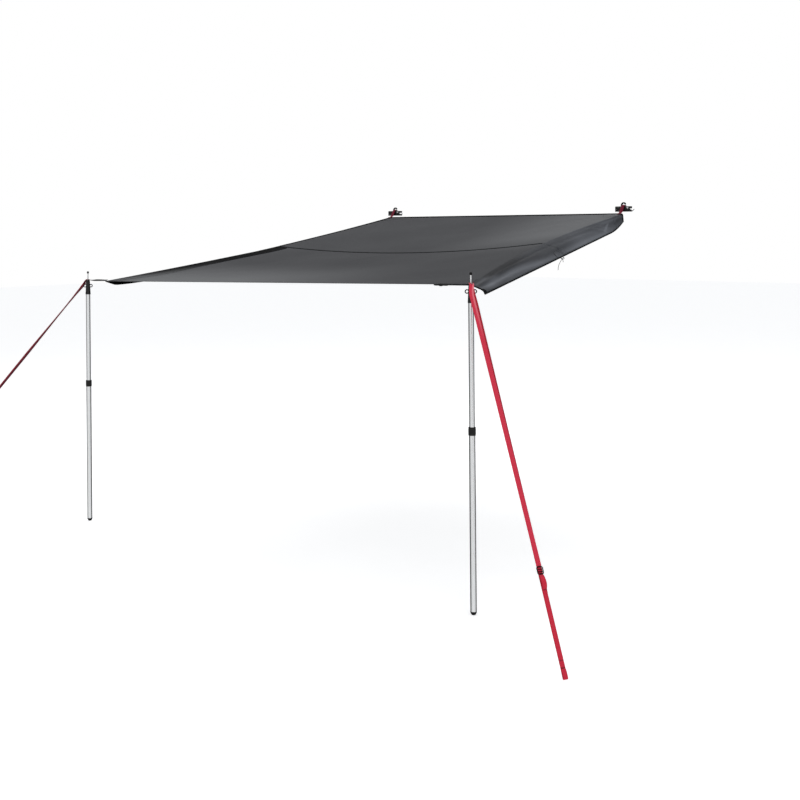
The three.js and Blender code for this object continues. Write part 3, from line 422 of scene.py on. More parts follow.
def thread_material(name, colour, dark, light, roughness, sheen=0.0):
    """Thread, in which only the colour of its strands changes."""
    material, tree, shader = new_material(name, colour, roughness, {"Sheen Weight": sheen})
    shade_by(shader, grain_of(tree, 900.0), dark, light)
    return material


def metal(name, dark, light, roughness, stretch, scale):
    """Bare metal; noise that is stretched along Z gives it drawing marks."""
    material, tree, shader = new_material(name, light, roughness, {"Metallic": 1.0})
    marks = grain_of(tree, scale, 3.0, stretch=stretch, rough=0.6)
    shade_by(shader, marks, dark, light, (roughness - 0.06, roughness + 0.08))
    low_marks = {"Height": marks, "Distance": 0.02 * MM, "Strength": 0.4}
    set_inputs(shader, {"Normal": add_node(tree, "Bump", low_marks)})
    return material


def grained(name, dark, light, roughness, gloss, height, scale, wear=None):
    """Moulded plastic, rubber or a coating: a grain of a height in metres, and its own wear."""
    material, tree, shader = new_material(name, light, roughness, {"Specular IOR Level": gloss})
    if wear:
        grain, shade, low, strength = grain_of(tree, scale), grain_of(tree, wear, 4.0), 0.08, 0.3
    else:
        grain, low, strength = grain_of(tree, scale, 4.0), 0.07, 0.4
        shade = grain
    shade_by(shader, shade, dark, light, (roughness - low, roughness + 0.1))
    bump = {"Height": grain, "Distance": height, "Strength": strength}
    set_inputs(shader, {"Normal": add_node(tree, "Bump", bump)})
    return material


sewing_thread = thread_material(
    "bonded_polyester_thread", "#26272a", "#1d1e20", "#303236", 0.42, sheen=0.2
)
bar_tack_thread = thread_material("heavy_dark_red_thread", "#6a1424", "#5a101e", "#7c1a2c", 0.5)
anodised = metal("natural_anodised_aluminium", "#d2d4d6", "#e8eaeb", 0.24, 60.0, 1500.0)
bright_steel = metal("bright_turned_steel", "#c4c4c5", "#d4d4d5", 0.3, 0.5, 2500.0)
spring_steel = metal("oiled_spring_steel", "#5c5c5e", "#77777a", 0.35, 0.5, 2500.0)
# The mouldings also wear in patches about 20 mm wide
MOULDING = {"height": 0.05 * MM, "scale": 1400.0, "wear": 45.0}
black_plastic = grained("satin_black_nylon", "#060607", "#0e0e0f", 0.4, 0.35, **MOULDING)
buckle_plastic = grained("matt_black_acetal", "#10070a", "#1c0c10", 0.7, 0.1, **MOULDING)
coated_wire = grained("black_coated_steel", "#0b0b0c", "#161617", 0.55, 0.2, 0.03 * MM, 900.0)
foot_rubber = grained("soft_black_rubber", "#0c0c0c", "#151515", 0.8, 0.25, 0.08 * MM, 600.0)
pad_rubber = grained("ribbed_pad_rubber", "#0a0a0a", "#131313", 0.85, 0.2, 0.1 * MM, 500.0)
print("finishes", [m.name for m in (anodised, bright_steel, black_plastic, foot_rubber)])

# %% [markdown]
# ## The guys
# Guy webbing is a flat band, 24 mm wide and a little under 2 mm thick, whose woven edges are
# thinner than its middle. A plane with thickness would have square edges, so a closed profile with
# thin edges is carried along the route. Each guy is one long band that is doubled over the spike on
# top of its pole. Both legs come down together to a ladder-lock buckle, where the loose end bulges
# out as a tail, and a single strap runs on to a sewn loop on the ground. Just under the spike
# each leg lies 4 to 6 mm aside, and they close up at the buckle, so the guy looks like a blade.

# %% The measures of a guy
WEBBING_WIDTH, WEBBING_THICKNESS, WEBBING_GAP = 24 * MM, 1.8 * MM, 0.6 * MM
GUY_REACH = {"right": (0.764, -0.431), "left": (-1.225, -0.616)}
GUY_LEAN, LEAN_FADE = {"right": 11 * MM, "left": 23 * MM}, {"right": 1, "left": 2}
GUY_SPREAD = {"right": 6.0 * MM, "left": 4.0 * MM}
LEAN_STARTS = 0.03
BUCKLE_SHARE, BUCKLE_LENGTH, PEG_LOOP_LENGTH, PEG_LOOP_DEPTH = 0.745, 34 * MM, 42 * MM, 8 * MM
TAIL_START, TAIL_BULGE, TAIL_LENGTH = 3 * MM, 12 * MM, 64 * MM
GUY_TAB_REACH, TAB_OVER_TIE, GROUND_GAP, CLEARANCE = 11 * MM, 4.054 * MM, 1.5 * MM, 0.3 * MM
# How far the left guy's webbing is rolled on its way down: metres from the top, and degrees
LEFT_ROLL = np.array([
    [0, 0], [0.05, 12], [0.13, -4], [0.22, -10], [0.36, -6], [0.5, 4], [0.64, 14], [0.95, 13],
    [1.45, 0],
])
# Shares of the way to the buckle, and of the spread between the legs there
LEG_SHARES = np.array([
    [0.008, 0.05], [0.02, 0.3], [0.04, 0.8], [0.07, 1], [0.15, 0.92], [0.3, 0.76], [0.5, 0.54],
    [0.7, 0.32], [0.85, 0.16], [1, 0],
])
# Shares of the tail's length, and of its bulge there
TAIL_SHARES = np.array([
    [0, 0.1], [0.12, 0.5], [0.35, 0.92], [0.58, 1], [0.78, 0.66], [0.88, 0.22], [0.98, 0.045],
    [1.15, 0.045],
])
print("webbing", round(WEBBING_WIDTH / MM), "mm wide")

# %% Where each guy runs
def guy_axes(side):
    """A guy's apex and directions: out is level, down runs along it, front faces up."""
    reach = GUY_REACH[side]
    pole = place(OUTWARD[side] * POLE_REACH, POLE_Y, 0)
    out = unit(place(*reach, 0))
    across = np.cross(overhead, out)
    apex = pole + out * GUY_TAB_REACH + place(0, 0, TIE_HEIGHT[side] + TAB_OVER_TIE)
    foot = pole + place(*reach, GROUND + GROUND_GAP)
    down, length = unit(foot - apex), float(np.linalg.norm(foot - apex))
    return {
        "out": out, "across": across, "apex": apex, "down": down, "length": length,
        "front": -np.cross(across, down), "buckle_top": length * BUCKLE_SHARE + CLEARANCE,
    }


guys = {side: guy_axes(side) for side in SIDES}


def turned_across(side, along):
    """The direction across a guy's webbing: level, but rolled on the left side."""
    g, along = guys[side], np.asarray(along, float)
    roll = np.interp(along, *LEFT_ROLL.T) if side == "left" else 0 * along
    roll = np.radians(roll)[..., None]
    return np.cos(roll) * g["across"] + np.sin(roll) * g["front"]


def on_guy(side, along, lift=0.0, aside=0.0):
    """Points on a guy: so far down it, so far out of its front and so far across it."""
    g = guys[side]
    along, lift, aside = np.broadcast_arrays(*(np.asarray(v, float) for v in (along, lift, aside)))
    across = turned_across(side, along)
    lifted = lift[..., None] * np.cross(g["down"], across)
    return g["apex"] + along[..., None] * g["down"] + lifted + aside[..., None] * across


def webbing(name, path, across, width=WEBBING_WIDTH, thickness=WEBBING_THICKNESS):
    """A band along a path, as one closed mesh."""
    return swept(name, path, across, band_profile(width, thickness))


def leg_path(side, layer):
    """One leg's route: the front leg (1) keeps to the pole's inner side, over the back leg (-1)."""
    g, shares = guys[side], LEG_SHARES if layer > 0 else LEG_SHARES[1:]
    down, spread = shares.T
    aside = -OUTWARD[side] * layer * GUY_SPREAD[side] * spread
    lift = layer * (WEBBING_THICKNESS + WEBBING_GAP) / 2
    lean = GUY_LEAN[side] * np.clip(down / LEAN_STARTS, 0, 1) * (1 - down) ** LEAN_FADE[side]
    points = on_guy(side, g["length"] * BUCKLE_SHARE * down, lift, aside)
    points -= lean[:, None] * g["across"]
    if layer > 0:
        points = np.concatenate([[g["apex"] - g["out"] * 2 * WEBBING_THICKNESS], points])
    return smooth_path(points, 12 * MM)


print("guys", {side: round(guys[side]["length"], 3) for side in SIDES}, "m")

# %% [markdown]
# ## Woven webbing
# Polyester webbing is woven on a narrow loom. Ribs 1.6 mm apart cross it, and both edges are bound
# by a selvedge. The band's UV map gives the place across and along in metres, so the ribs and the
# edges are read off it. A picture of webbing would blur up close, and this can't. Light and shade
# are also painted into copies of the webbing: the left guy has painted shade, a maroon middle
# between red edges, the right guy's front leg has a painted highlight along one edge, and its back
# leg is a darker copy, painted shade from the front leg.

# %% Webbing materials
HALF_BAND, SELVEDGE = WEBBING_WIDTH / 2, (0.72, 0.86)


def webbing_material(
    name, core, edge, half=HALF_BAND, sheen=0.15, bound=SELVEDGE, one_edge=False, fades=None
):
    """Ribbed webbing from two colours in its core to two at its edges, or at one edge only.

    They meet between the bound shares of half its width, and the edge's may fade along it.
    """
    inputs = {"Sheen Weight": sheen, "Sheen Roughness": 0.4, "Specular IOR Level": 0.2}
    material, tree, shader = new_material(name, core[1], 0.75, inputs)
    uv = add_node(tree, "UVMap", uv_map="cloth")
    across, along = add_node(tree, "SeparateXYZ", {"Vector": uv}).node.outputs[:2]
    beside = across if one_edge else add_node(tree, "Math", {0: across}, operation="ABSOLUTE")
    reach = {"Value": beside, "From Min": bound[0] * half, "From Max": bound[1] * half}
    at_edge = add_node(tree, "MapRange", reach)
    if fades:
        faded = {"Value": along, "From Min": fades[0], "From Max": fades[1]}
        faded = add_node(tree, "MapRange", {**faded, "To Min": 1.0, "To Max": 0.0})
        at_edge = add_node(tree, "Math", {0: at_edge, 1: faded}, operation="MULTIPLY")
    fuzz = add_node(tree, "TexNoise", {"Vector": uv, "Scale": 260.0, "Detail": 4.0})
    core, edge = (
        add_node(tree, "ValToRGB", {"Fac": fuzz}, stops=zip((0.3, 0.7), pair))
        for pair in (core, edge)
    )
    tint = add_node(tree, "Mix", {0: at_edge, 6: core, 7: edge}, 2, data_type="RGBA")
    ribs = {"Vector": uv, "Scale": 196.0, "Distortion": 0.6, "Detail": 1.0}
    ribs = add_node(tree, "TexWave", ribs, "Fac", bands_direction="Y")
    cords = {"Vector": uv, "Scale": 140.0, "Distortion": 0.3}
    cords = add_node(tree, "TexWave", cords, "Fac", bands_direction="X")
    ribbed = add_node(tree, "Bump", {"Height": ribs, "Distance": 0.35 * MM, "Strength": 0.8})
    woven = {"Height": cords, "Distance": 0.15 * MM, "Strength": 0.5, "Normal": ribbed}
    set_inputs(shader, {"Base Color": tint, "Normal": add_node(tree, "Bump", woven)})
    return material


red_webbing = webbing_material(
    "red_polyester_webbing", ("#da2840", "#ee3a52"), ("#c01e34", "#d22c44"), sheen=0.2
)
# A copy with a painted highlight along one edge, which fades out down the leg
lit_red_webbing = webbing_material(
    "red_webbing_with_painted_highlight", ("#de2e48", "#f4445c"), ("#ff6072", "#ff98a2"),
    sheen=0.3, bound=(0.12, 0.36), one_edge=True, fades=(0.12, 0.3),
)
# A darker copy: painted shade, where the back leg lies under the front one
painted_shade_red_webbing = webbing_material(
    "red_webbing_with_painted_leg_shade", ("#b41c30", "#c8283c"), ("#961426", "#ac1c30")
)
# A copy with painted shade: a maroon middle between red edges
shaded_red_webbing = webbing_material(
    "maroon_red_webbing_with_painted_shade", ("#581622", "#6a1e2c"), ("#b42a3c", "#c83a4c"), sheen=0.1
)
sling_webbing = webbing_material(
    "dark_red_sling_webbing", ("#6a1128", "#801a34"), ("#560d20", "#6a142a"), 13 * MM
)
black_webbing = webbing_material(
    "black_polyester_webbing", ("#121213", "#1c1c1e"), ("#0e0e0f", "#161617"), 14 * MM
)
guy_cloth = {"right": red_webbing, "left": shaded_red_webbing}
leg_cloth = {("right", "front_leg"): lit_red_webbing, ("right", "back_leg"): painted_shade_red_webbing}
print("webbing", [m.name for m in (*guy_cloth.values(), sling_webbing, black_webbing)])

# %% Legs, tail and lower strap as bands
webbing_pieces = {}
for side in SIDES:
    g = guys[side]
    tail_top = g["buckle_top"] + BUCKLE_LENGTH + TAIL_START
    tail = on_guy(side, tail_top + TAIL_LENGTH * TAIL_SHARES[:, 0], TAIL_BULGE * TAIL_SHARES[:, 1])
    strap = np.linspace(g["buckle_top"], g["length"] - PEG_LOOP_LENGTH + 2 * MM, 5)
    strap = on_guy(side, strap, -WEBBING_THICKNESS / 2 - CLEARANCE)
    paths = {
        "front_leg": leg_path(side, 1),
        "back_leg": leg_path(side, -1),
        "tail": smooth_path(tail, 2.5 * MM),
        "lower_strap": smooth_path(strap, 12 * MM),
    }
    for part, path in paths.items():
        across = turned_across(side, (path - g["apex"]) @ g["down"])
        band, cloth = f"{side}_guy_{part}", leg_cloth.get((side, part), guy_cloth[side])
        piece = webbing(band + "_webbing", path, across)
        webbing_pieces[side, part] = dressed(piece, cloth, "red_webbing", "awning", band), path
        print(piece.name, round(run_along(path)[-1], 3), "m")

# %% [markdown]
# ## The sheet
# The sheet is one piece of cloth: two panels sewn across the middle, with a narrow flap folded down
# at each side. Both sides are cut as shallow curves that bow inwards, so that tension runs along
# them and the middle only sags a little. A cloth simulation would find such a shape too, but never
# the same one twice as the corners move, so the sheet is a formula: every row across it joins the
# left flap, the middle and the right flap, and a few passes of averaging round the two folds.

# %% The sheet's measures
SHEET_DEPTH, SHEET_REAR, REAR_EDGE, REAR_REACH = 2.435, -0.041, -0.039, 1.0
RIDGE = {
    "right": {"front": 1.485, "bow": 0.110, "tent": 0.0, "front_height": -0.39535},
    "left": {"front": 1.362, "bow": 0.157, "tent": 0.5, "front_height": -0.4407},
}
SHEET_SAG, FOLD_GAP = 0.052, 2.3 * MM
RIGHT_FLAP_REAR, RIGHT_FLAP_FRONT = place(0.005, 0, -0.087), place(0.080, 0, -0.043)
RIGHT_FLAP_CROWN, RIGHT_FLAP_ROUND, RIGHT_FLAP_LIFT = 0.012, 0.290, 0.035
LEFT_FLAP_REAR, LEFT_FLAP_MIDDLE, LEFT_FLAP_FRONT = 0.055, 0.223, 0.123
LEFT_FLAP_TURN, LEFT_TURN_SHARE = np.radians([65.0, 170.0]), 0.8
LEFT_END_TAPER, LEFT_END = 0.14, 0.96
TENT_ROUND = 0.02


def hump(t):
    """0 at both ends and 1 in the middle: 4 t (1 - t)."""
    return 4 * t * (1 - t)


def soft_step(x, low, high):
    """0 below low, 1 above high, and 3 x^2 - 2 x^3 between them."""
    x = np.clip((x - low) / (high - low), 0, 1)
    return x * x * (3 - 2 * x)


def ridge(side, t):
    """A fold: a line from corner to corner, pulled in by bow x (part hump, part rounded tent)."""
    r, t = RIDGE[side], np.asarray(t, float)
    tent = 1 + TENT_ROUND - np.sqrt((2 * t - 1) ** 2 + TENT_ROUND**2)
    tent = np.maximum(tent - TENT_ROUND, 0) / (1 - TENT_ROUND)
    bowed = r["bow"] * ((1 - r["tent"]) * hump(t) + r["tent"] * tent)
    x = OUTWARD[side] * (REAR_REACH + (r["front"] - REAR_REACH) * t - bowed)
    z = REAR_EDGE + (r["front_height"] - REAR_EDGE) * t
    return np.stack([x, SHEET_REAR - SHEET_DEPTH * t, z], -1)


def middle_of_sheet(a, t):
    """Straight from the left fold (a = 0) to the right (a = 1), less sag x hump(a) x hump(t)."""
    points = ridge("left", t) * (1 - a[..., None]) + ridge("right", t) * a[..., None]
    points[..., 2] -= SHEET_SAG * hump(a) * hump(t)
    return points


def right_flap(b, t):
    """Straight from the right fold (b = 0) to the flap's edge (b = 1), crowned in between."""
    start, ends, down = ridge("right", t), ridge("right", np.array([0.0, 1.0])), t[..., None]
    edge = (ends[0] + RIGHT_FLAP_REAR) * (1 - down) + (ends[1] + RIGHT_FLAP_FRONT) * down
    rounded = np.maximum(0, 1 - SHEET_DEPTH * t / RIGHT_FLAP_ROUND) ** 2
    edge[..., 2] += RIGHT_FLAP_LIFT * rounded
    points = start * (1 - b[..., None]) + edge * b[..., None]
    points[..., 2] += RIGHT_FLAP_CROWN * hump(b) * hump(t)
    return points


def left_flap(b, t):
    """A strip that turns from hanging at the rear to lying folded under the sheet at the front."""
    width = LEFT_FLAP_REAR + (LEFT_FLAP_FRONT - LEFT_FLAP_REAR) * t
    width += (LEFT_FLAP_MIDDLE - (LEFT_FLAP_REAR + LEFT_FLAP_FRONT) / 2) * hump(t)
    width *= 1 - LEFT_END_TAPER * np.clip((t - LEFT_END) / (1 - LEFT_END), 0, 1) ** 2
    hanging, folded = LEFT_FLAP_TURN
    turn = folded + (hanging - folded) * np.maximum(0, 1 - t / LEFT_TURN_SHARE) ** 2
    gap = FOLD_GAP * np.minimum(8 * b, 1)
    points = ridge("left", t)
    points[..., 0] -= width * b * np.cos(turn) + gap * np.maximum(np.cos(turn), 0)
    points[..., 2] -= width * b * np.sin(turn) + gap
    return points


front_edge = RIDGE["right"]["front"] + RIDGE["left"]["front"]
print("rear edge", 2 * REAR_REACH, "m, front edge", round(front_edge, 3), "m")

# %% One grid across both flaps and the middle
FLAP_CELLS, MIDDLE_CELLS, SHEET_ROWS = 16, 150, 161


def closer_to_ends(x):
    """Spaces 0..1 more closely at both ends: part of it even, part of it (1 - cos(pi x)) / 2."""
    return 0.45 * x + 0.55 * (1 - np.cos(np.pi * x)) / 2


flap_steps = np.linspace(0, 1, FLAP_CELLS + 1) ** 1.35
middle_steps = closer_to_ends(np.linspace(0, 1, MIDDLE_CELLS + 1))
# Columns count 0..1 over the left flap, 1..2 over the middle and 2..3 over the right flap
columns = np.concatenate([1 - flap_steps[::-1], 1 + middle_steps[1:], 2 + flap_steps[1:]])
rows = closer_to_ends(np.linspace(0, 1, SHEET_ROWS))
S, T = np.meshgrid(columns, rows)
on_left, on_right = S < 1, S > 2
left_share, from_fold, right_share = (np.clip(x, 0, 1) for x in (1 - S, S - 1, S - 2))
sheet_points = middle_of_sheet(from_fold, T)
sheet_points = np.where(on_right[..., None], right_flap(right_share, T), sheet_points)
sheet_points = np.where(on_left[..., None], left_flap(left_share, T), sheet_points)
print("grid", sheet_points.shape[:2])

# %% [markdown]
# ## Tension folds
# Cloth that is pulled at its corners makes shallow folds that fan out from them, and a sewn seam
# puckers. Each fold here is a ridge with a bell-shaped section along a straight line, fading at
# both ends: height x exp(-(distance / width)^2). On the middle they are up to 6 mm high, and on
# the flaps up to 9 mm, but the camera looks along the sheet, so even such low folds catch light.

# %% Folds across the sheet
chance = np.random.default_rng(11)
FAN_ANGLE, FAN_COUNT, FAN_HEIGHT, FAN_START = 0.42, 6, 3.2 * MM, 0.05
FAN_REACH = {0.0: 0.95, 1.0: 1.15}
# Short puckers that hang from the cross seam: where in x, how far they lean, and how long they are
SEAM_PUCKERS = [
    (-0.62, 0.22, 0.34), (-0.42, -0.18, 0.26), (-0.30, 0.12, 0.30), (-0.02, -0.10, 0.36),
    (0.34, 0.16, 0.22), (0.6, -0.12, 0.3),
]
PUCKER_START, PUCKER_WIDTH, PUCKER_HEIGHT = -1.27, 0.028, 3.0 * MM


def bell(x, middle, width):
    """exp(-((x - middle) / width)^2)."""
    return np.exp(-(((x - middle) / width) ** 2))


def fold_over(x, y, start, end, width, height, fade):
    """A fold's height at each (x, y): a bell across its line, a sine to the power fade along it."""
    (x0, y0), (x1, y1) = start, end
    long = math.hypot(x1 - x0, y1 - y0)
    along = ((x - x0) * (x1 - x0) + (y - y0) * (y1 - y0)) / long**2
    away = ((x - x0) * (y1 - y0) - (y - y0) * (x1 - x0)) / long
    return height * bell(away, 0, width) * np.sin(np.pi * np.clip(along, 0, 1)) ** fade


def fan(corner, inward, reach):
    """Folds that fan out from a corner, as (start, end, width, height)."""
    made = []
    for angle in np.linspace(-FAN_ANGLE, FAN_ANGLE, FAN_COUNT):
        bearing = math.atan2(inward[1], inward[0]) + angle + chance.normal(0, 0.03)
        long = reach * chance.uniform(0.7, 1.15)
        ray = np.array([math.cos(bearing), math.sin(bearing)])
        width = chance.uniform(0.018, 0.035) * (1 + long)
        height = FAN_HEIGHT * chance.choice([-1, 1]) * chance.uniform(0.6, 1.2)
        made.append((corner + FAN_START * ray, corner + long * ray, width, height))
    return made


sheet_folds = []
for side in SIDES:
    for end, reach in FAN_REACH.items():
        corner = ridge(side, np.array([end]))[0, :2]
        sheet_folds += fan(corner, (-OUTWARD[side] * 0.75, 2 * end - 1), reach)
for x, lean, long in SEAM_PUCKERS:
    start, end = (x, PUCKER_START), (x + lean, PUCKER_START - long)
    sheet_folds.append((start, end, PUCKER_WIDTH, PUCKER_HEIGHT))
x, y = sheet_points[..., 0], sheet_points[..., 1]
raised_by = sum(fold_over(x, y, *one, 0.8) for one in sheet_folds)
calm = np.clip(np.minimum(T, 1 - T) / 0.06, 0, 1) * ~(on_left | on_right)
raised_by = raised_by * calm * np.clip(np.minimum(np.abs(S - 1), np.abs(2 - S)) / 0.03, 0, 1)
sheet_points[..., 2] += raised_by
lowest, highest = np.round([raised_by.min() / MM, raised_by.max() / MM], 1)
print(len(sheet_folds), "folds, from", lowest, "to", highest, "mm")

# %% The pressed-down strip along the front half of the left fold
# From the seam's left end to the front corner the sheet is set a little lower than the taut fold
# beside it, under the dark strip of painted shade that is laid on it further down.
STRIP_DIP, STRIP_SHARE = 0.006, 0.055
dip = STRIP_DIP * soft_step(T, 0.50, 0.60) * (1 - soft_step(T, 0.80, 1.0))
dip *= soft_step(from_fold, 0.0, STRIP_SHARE) * (1 - soft_step(from_fold, 0.10, 0.45))
sheet_points[..., 2] -= np.where((S > 1) & (S < 2), dip, 0)
print("strip dips", round(float(dip.max() / MM), 1), "mm")

# %% Creases along the flaps
# Two places on a flap, each a row share and a share of the flap's width, then width and height, mm
FLAP_CREASES = [
    ((1.06, 0.30), (0.60, 0.52), 14, 6.0),
    ((1.02, 0.62), (0.66, 0.80), 12, -5.0),
    ((0.80, 0.30), (0.40, 0.38), 16, -5.0),
    ((0.62, 0.66), (0.22, 0.60), 16, 6.0),
    ((0.46, 0.30), (0.08, 0.45), 12, 4.5),
    ((0.26, 0.15), (0.13, 1.05), 13, 6.0),
    ((0.20, 0.10), (0.07, 0.95), 10, -4.0),
    ((0.56, 1.05), (0.47, 0.35), 12, 5.0),
    ((0.44, 1.05), (0.49, 0.40), 10, -4.0),
]
LEFT_CREASES, LEFT_CREASE_SHARE, FRONT_LIFT = 4, 0.5, 0.0352


def grid_normals(points):
    """The cross product of the directions along the rows and across them, of unit length."""
    return unit(np.cross(np.gradient(points, axis=0), np.gradient(points, axis=1)))


def flap_width(t):
    """About how wide a flap is at a row share."""
    return 0.06 + 0.2 * np.maximum(hump(t), 0) ** 0.7 + 0.05 * t


def flap_creases(share, creases):
    """The creases' heights, measured in metres along and across the flap."""
    total = 0
    for *ends, width, height in creases:
        start, end = ((t * SHEET_DEPTH, b * flap_width(t)) for t, b in ends)
        place_on_it = T * SHEET_DEPTH, share * flap_width(T)
        total = total + fold_over(*place_on_it, start, end, width * MM, height * MM, 0.7)
    return total


creased = flap_creases(right_share, FLAP_CREASES) * on_right * np.sin(np.pi * right_share) ** 0.6
left_creased = flap_creases(left_share, FLAP_CREASES[:LEFT_CREASES]) * on_left
creased = creased + LEFT_CREASE_SHARE * left_creased * np.sin(np.pi * left_share)
creased = creased * np.clip(np.minimum(T, 1 - T) / 0.02, 0, 1)
sheet_points += grid_normals(sheet_points) * creased[..., None]
# The flap's front edge runs out nearly level and then drops to its corner
front_edge = right_share**2 * np.sqrt(1 - right_share) * soft_step(T, 0.93, 1.0)
sheet_points[..., 2] += FRONT_LIFT * front_edge * on_right
print("flap creases up to", round(float(np.abs(creased).max() / MM), 1), "mm")

# %% Rounding the two folds
beside_fold = (S > 0.84) & (S < 1.008) | (S > 1.992) & (S < 2.12)
for _ in range(5):
    averaged = sheet_points.copy()
    averaged[:, 1:-1] = (sheet_points[:, :-2] + 2 * sheet_points[:, 1:-1] + sheet_points[:, 2:]) / 4
    sheet_points = np.where(beside_fold[..., None], averaged, sheet_points)
cloth_normals = grid_normals(sheet_points)
print("columns rounded", int(beside_fold[0].sum()))

# %% Places on the cloth, for everything that is sewn to it
def on_cloth(s, t, lift=0.0):
    """The sheet's point at column share s and row share t, lifted along its normal."""
    s, t, lift = np.broadcast_arrays(*(np.asarray(v, float) for v in (s, t, lift)))
    j = np.clip(np.searchsorted(columns, s, side="right") - 1, 0, len(columns) - 2)
    i = np.clip(np.searchsorted(rows, t, side="right") - 1, 0, len(rows) - 2)
    u = ((s - columns[j]) / (columns[j + 1] - columns[j]))[..., None]
    v = ((t - rows[i]) / (rows[i + 1] - rows[i]))[..., None]

    def at(grid):
        """Straight interpolation between the four grid points round a place."""
        near = grid[i, j] * (1 - v) + grid[i + 1, j] * v
        far = grid[i, j + 1] * (1 - v) + grid[i + 1, j + 1] * v
        return near * (1 - u) + far * u

    return at(sheet_points) + unit(at(cloth_normals)) * lift[..., None]


def cloth_up(s, t):
    """The direction that the cloth's upper side faces."""
    return unit(on_cloth(s, t, 1.0) - on_cloth(s, t))


def row_width(t):
    """The width of the middle of the sheet at a row share."""
    return ridge("right", t)[..., 0] - ridge("left", t)[..., 0]


print("halfway down, the sheet is", round(float(row_width(0.5)), 3), "m wide")

# %% Painted light and shade on the cloth
def flap_share(points):
    """How far down the sheet and across the right flap points lie: 0 on its fold, 1 on its edge."""
    t = np.clip((SHEET_REAR - points[:, 1]) / SHEET_DEPTH, 0, 1)
    fold_line, edge = right_flap(0 * t, t), right_flap(0 * t + 1, t)
    share = ((points - fold_line) * (edge - fold_line)).sum(1) / ((edge - fold_line) ** 2).sum(1)
    return t, np.where(points[:, 0] > fold_line[:, 0] - 2 * MM, share, -1.0)


def middle_painted_shading(points, t):
    """Painted shading: the middle of the sheet is lighter towards its right rear and its left front
    corner.
    """
    left, right = ridge("left", t)[:, 0], ridge("right", t)[:, 0]
    a = np.clip((points[:, 0] - left) / (right - left), 0, 1)
    painted_light_and_shade = 0.12 + 0.55 * soft_step(a, 0.5, 0.95) * (1 - soft_step(t, 0.3, 0.62))
    front_left = soft_step(t, 0.66, 1.0) * (1 - soft_step(a, 0.3, 0.9)) * soft_step(a, 0.0, 0.1)
    return painted_light_and_shade + 0.74 * front_left


def flap_painted_light(b, t):
    """Painted light on the flap: one long painted shine, which moves up towards the front, and
    painted highlights at both ends.
    """
    # A base level, with painted shade at the rear end, over the front part, and along the fold near
    # the front
    flap = 0.40 - 0.12 * soft_step(t, 0.3, 0.5) - 0.22 * (1 - soft_step(t, 0.03, 0.09))
    flap -= 0.32 * soft_step(t, 0.6, 0.8) * (1 - soft_step(b, 0.3, 0.6))
    # The painted shine: how strong it is, and where across the flap
    shine = np.where(t > 0.55, 0.62, 0.58) - 0.24 * bell(t, 0.52, 0.05)
    shine *= soft_step(t, 0.12, 0.2) * (1 - 0.7 * soft_step(t, 0.94, 0.99))
    flap += shine * bell(b, 0.92 - 0.27 * soft_step(t, 0.56, 0.82), 0.15)
    # Painted highlights on the lower edge, under the fold at both ends, and round the front corner
    front_half = soft_step(t, 0.55, 0.7) * (1 - soft_step(t, 0.85, 0.95))
    flap += 0.24 * soft_step(b, 0.75, 0.95) * front_half
    flap += 0.36 * bell(b, 0.2, 0.1) * (soft_step(t, 0.88, 0.93) + 1 - soft_step(t, 0.08, 0.2))
    flap += 0.45 * bell(b, 0.42, 0.12) * bell(t, 0.9, 0.03) + 0.18 * soft_step(t, 0.9, 0.94)
    # Painted light: the rear third is lighter, as it faces the sky more, and a painted highlight of a
    # crease crosses it near its end
    rear = 0.12 + 0.26 * soft_step(b, 0.2, 0.6) * soft_step(t, 0.08, 0.14)
    flap += rear * (1 - soft_step(t, 0.3, 0.5))
    flap += 0.3 * soft_step(b, 0.4, 0.9) * (1 - soft_step(t, 0.1, 0.2))
    flap += 1.3 * bell(t, 0.065 + 0.115 * b, 0.008) * soft_step(b, 0.3, 0.5)
    return 0.8 * flap


def set_painted_light_and_shade(piece, painted_light_and_shade):
    """Writes a painted light and shade value for every vertex of a piece of cloth."""
    layer = piece.data.attributes.new(name="painted_light_and_shade", type="FLOAT", domain="POINT")
    layer.data.foreach_set("value", np.asarray(painted_light_and_shade, np.float32).ravel())


def tint(piece):
    """Gives each vertex of a piece the painted light and shade of its place on the sheet."""
    points = np.zeros(3 * len(piece.data.vertices))
    piece.data.vertices.foreach_get("co", points)
    points = points.reshape(-1, 3)
    t, b = flap_share(points)
    set_painted_light_and_shade(piece, np.clip(np.where(b > 0, flap_painted_light(b, t), middle_painted_shading(points, t)), 0, 1))


print("a tone runs from 0, dark, to 1, light")

# %% The sheet as one piece of cloth
CLOTH_THICKNESS = 1.0 * MM
steps_across = np.linalg.norm(np.diff(sheet_points, axis=1), axis=2)
steps_down = np.linalg.norm(np.diff(sheet_points, axis=0), axis=2)
across_run = np.pad(np.cumsum(steps_across, axis=1), ((0, 0), (1, 0)))
along_run = np.pad(np.cumsum(steps_down, axis=0), ((1, 0), (0, 0)))
fold_column = int(np.searchsorted(columns, 1.0))
sheet_uv = np.stack([across_run - across_run[:, [fold_column]], along_run], -1)
awning_sheet = layer_of_cloth("awning_sheet", sheet_points, sheet_uv, CLOTH_THICKNESS)
# Material 0 on the middle, 1 on the right flap and 2 on the left one; the left flap takes the
# near-black patch cloth as painted shade
cell_middle = np.tile((columns[:-1] + columns[1:]) / 2, SHEET_ROWS - 1)
cell_material = np.select([cell_middle > 2, cell_middle < 1], [1, 2]).astype(np.int32)
panels = ("rear_panel", "front_panel", "right_flap", "left_flap")
dressed(awning_sheet, canopy_cloth, "canopy_cloth", "awning", *panels)
awning_sheet.data.materials.append(flap_cloth)
awning_sheet.data.materials.append(patch_cloth)
awning_sheet.data.polygons.foreach_set("material_index", cell_material)
tint(awning_sheet)

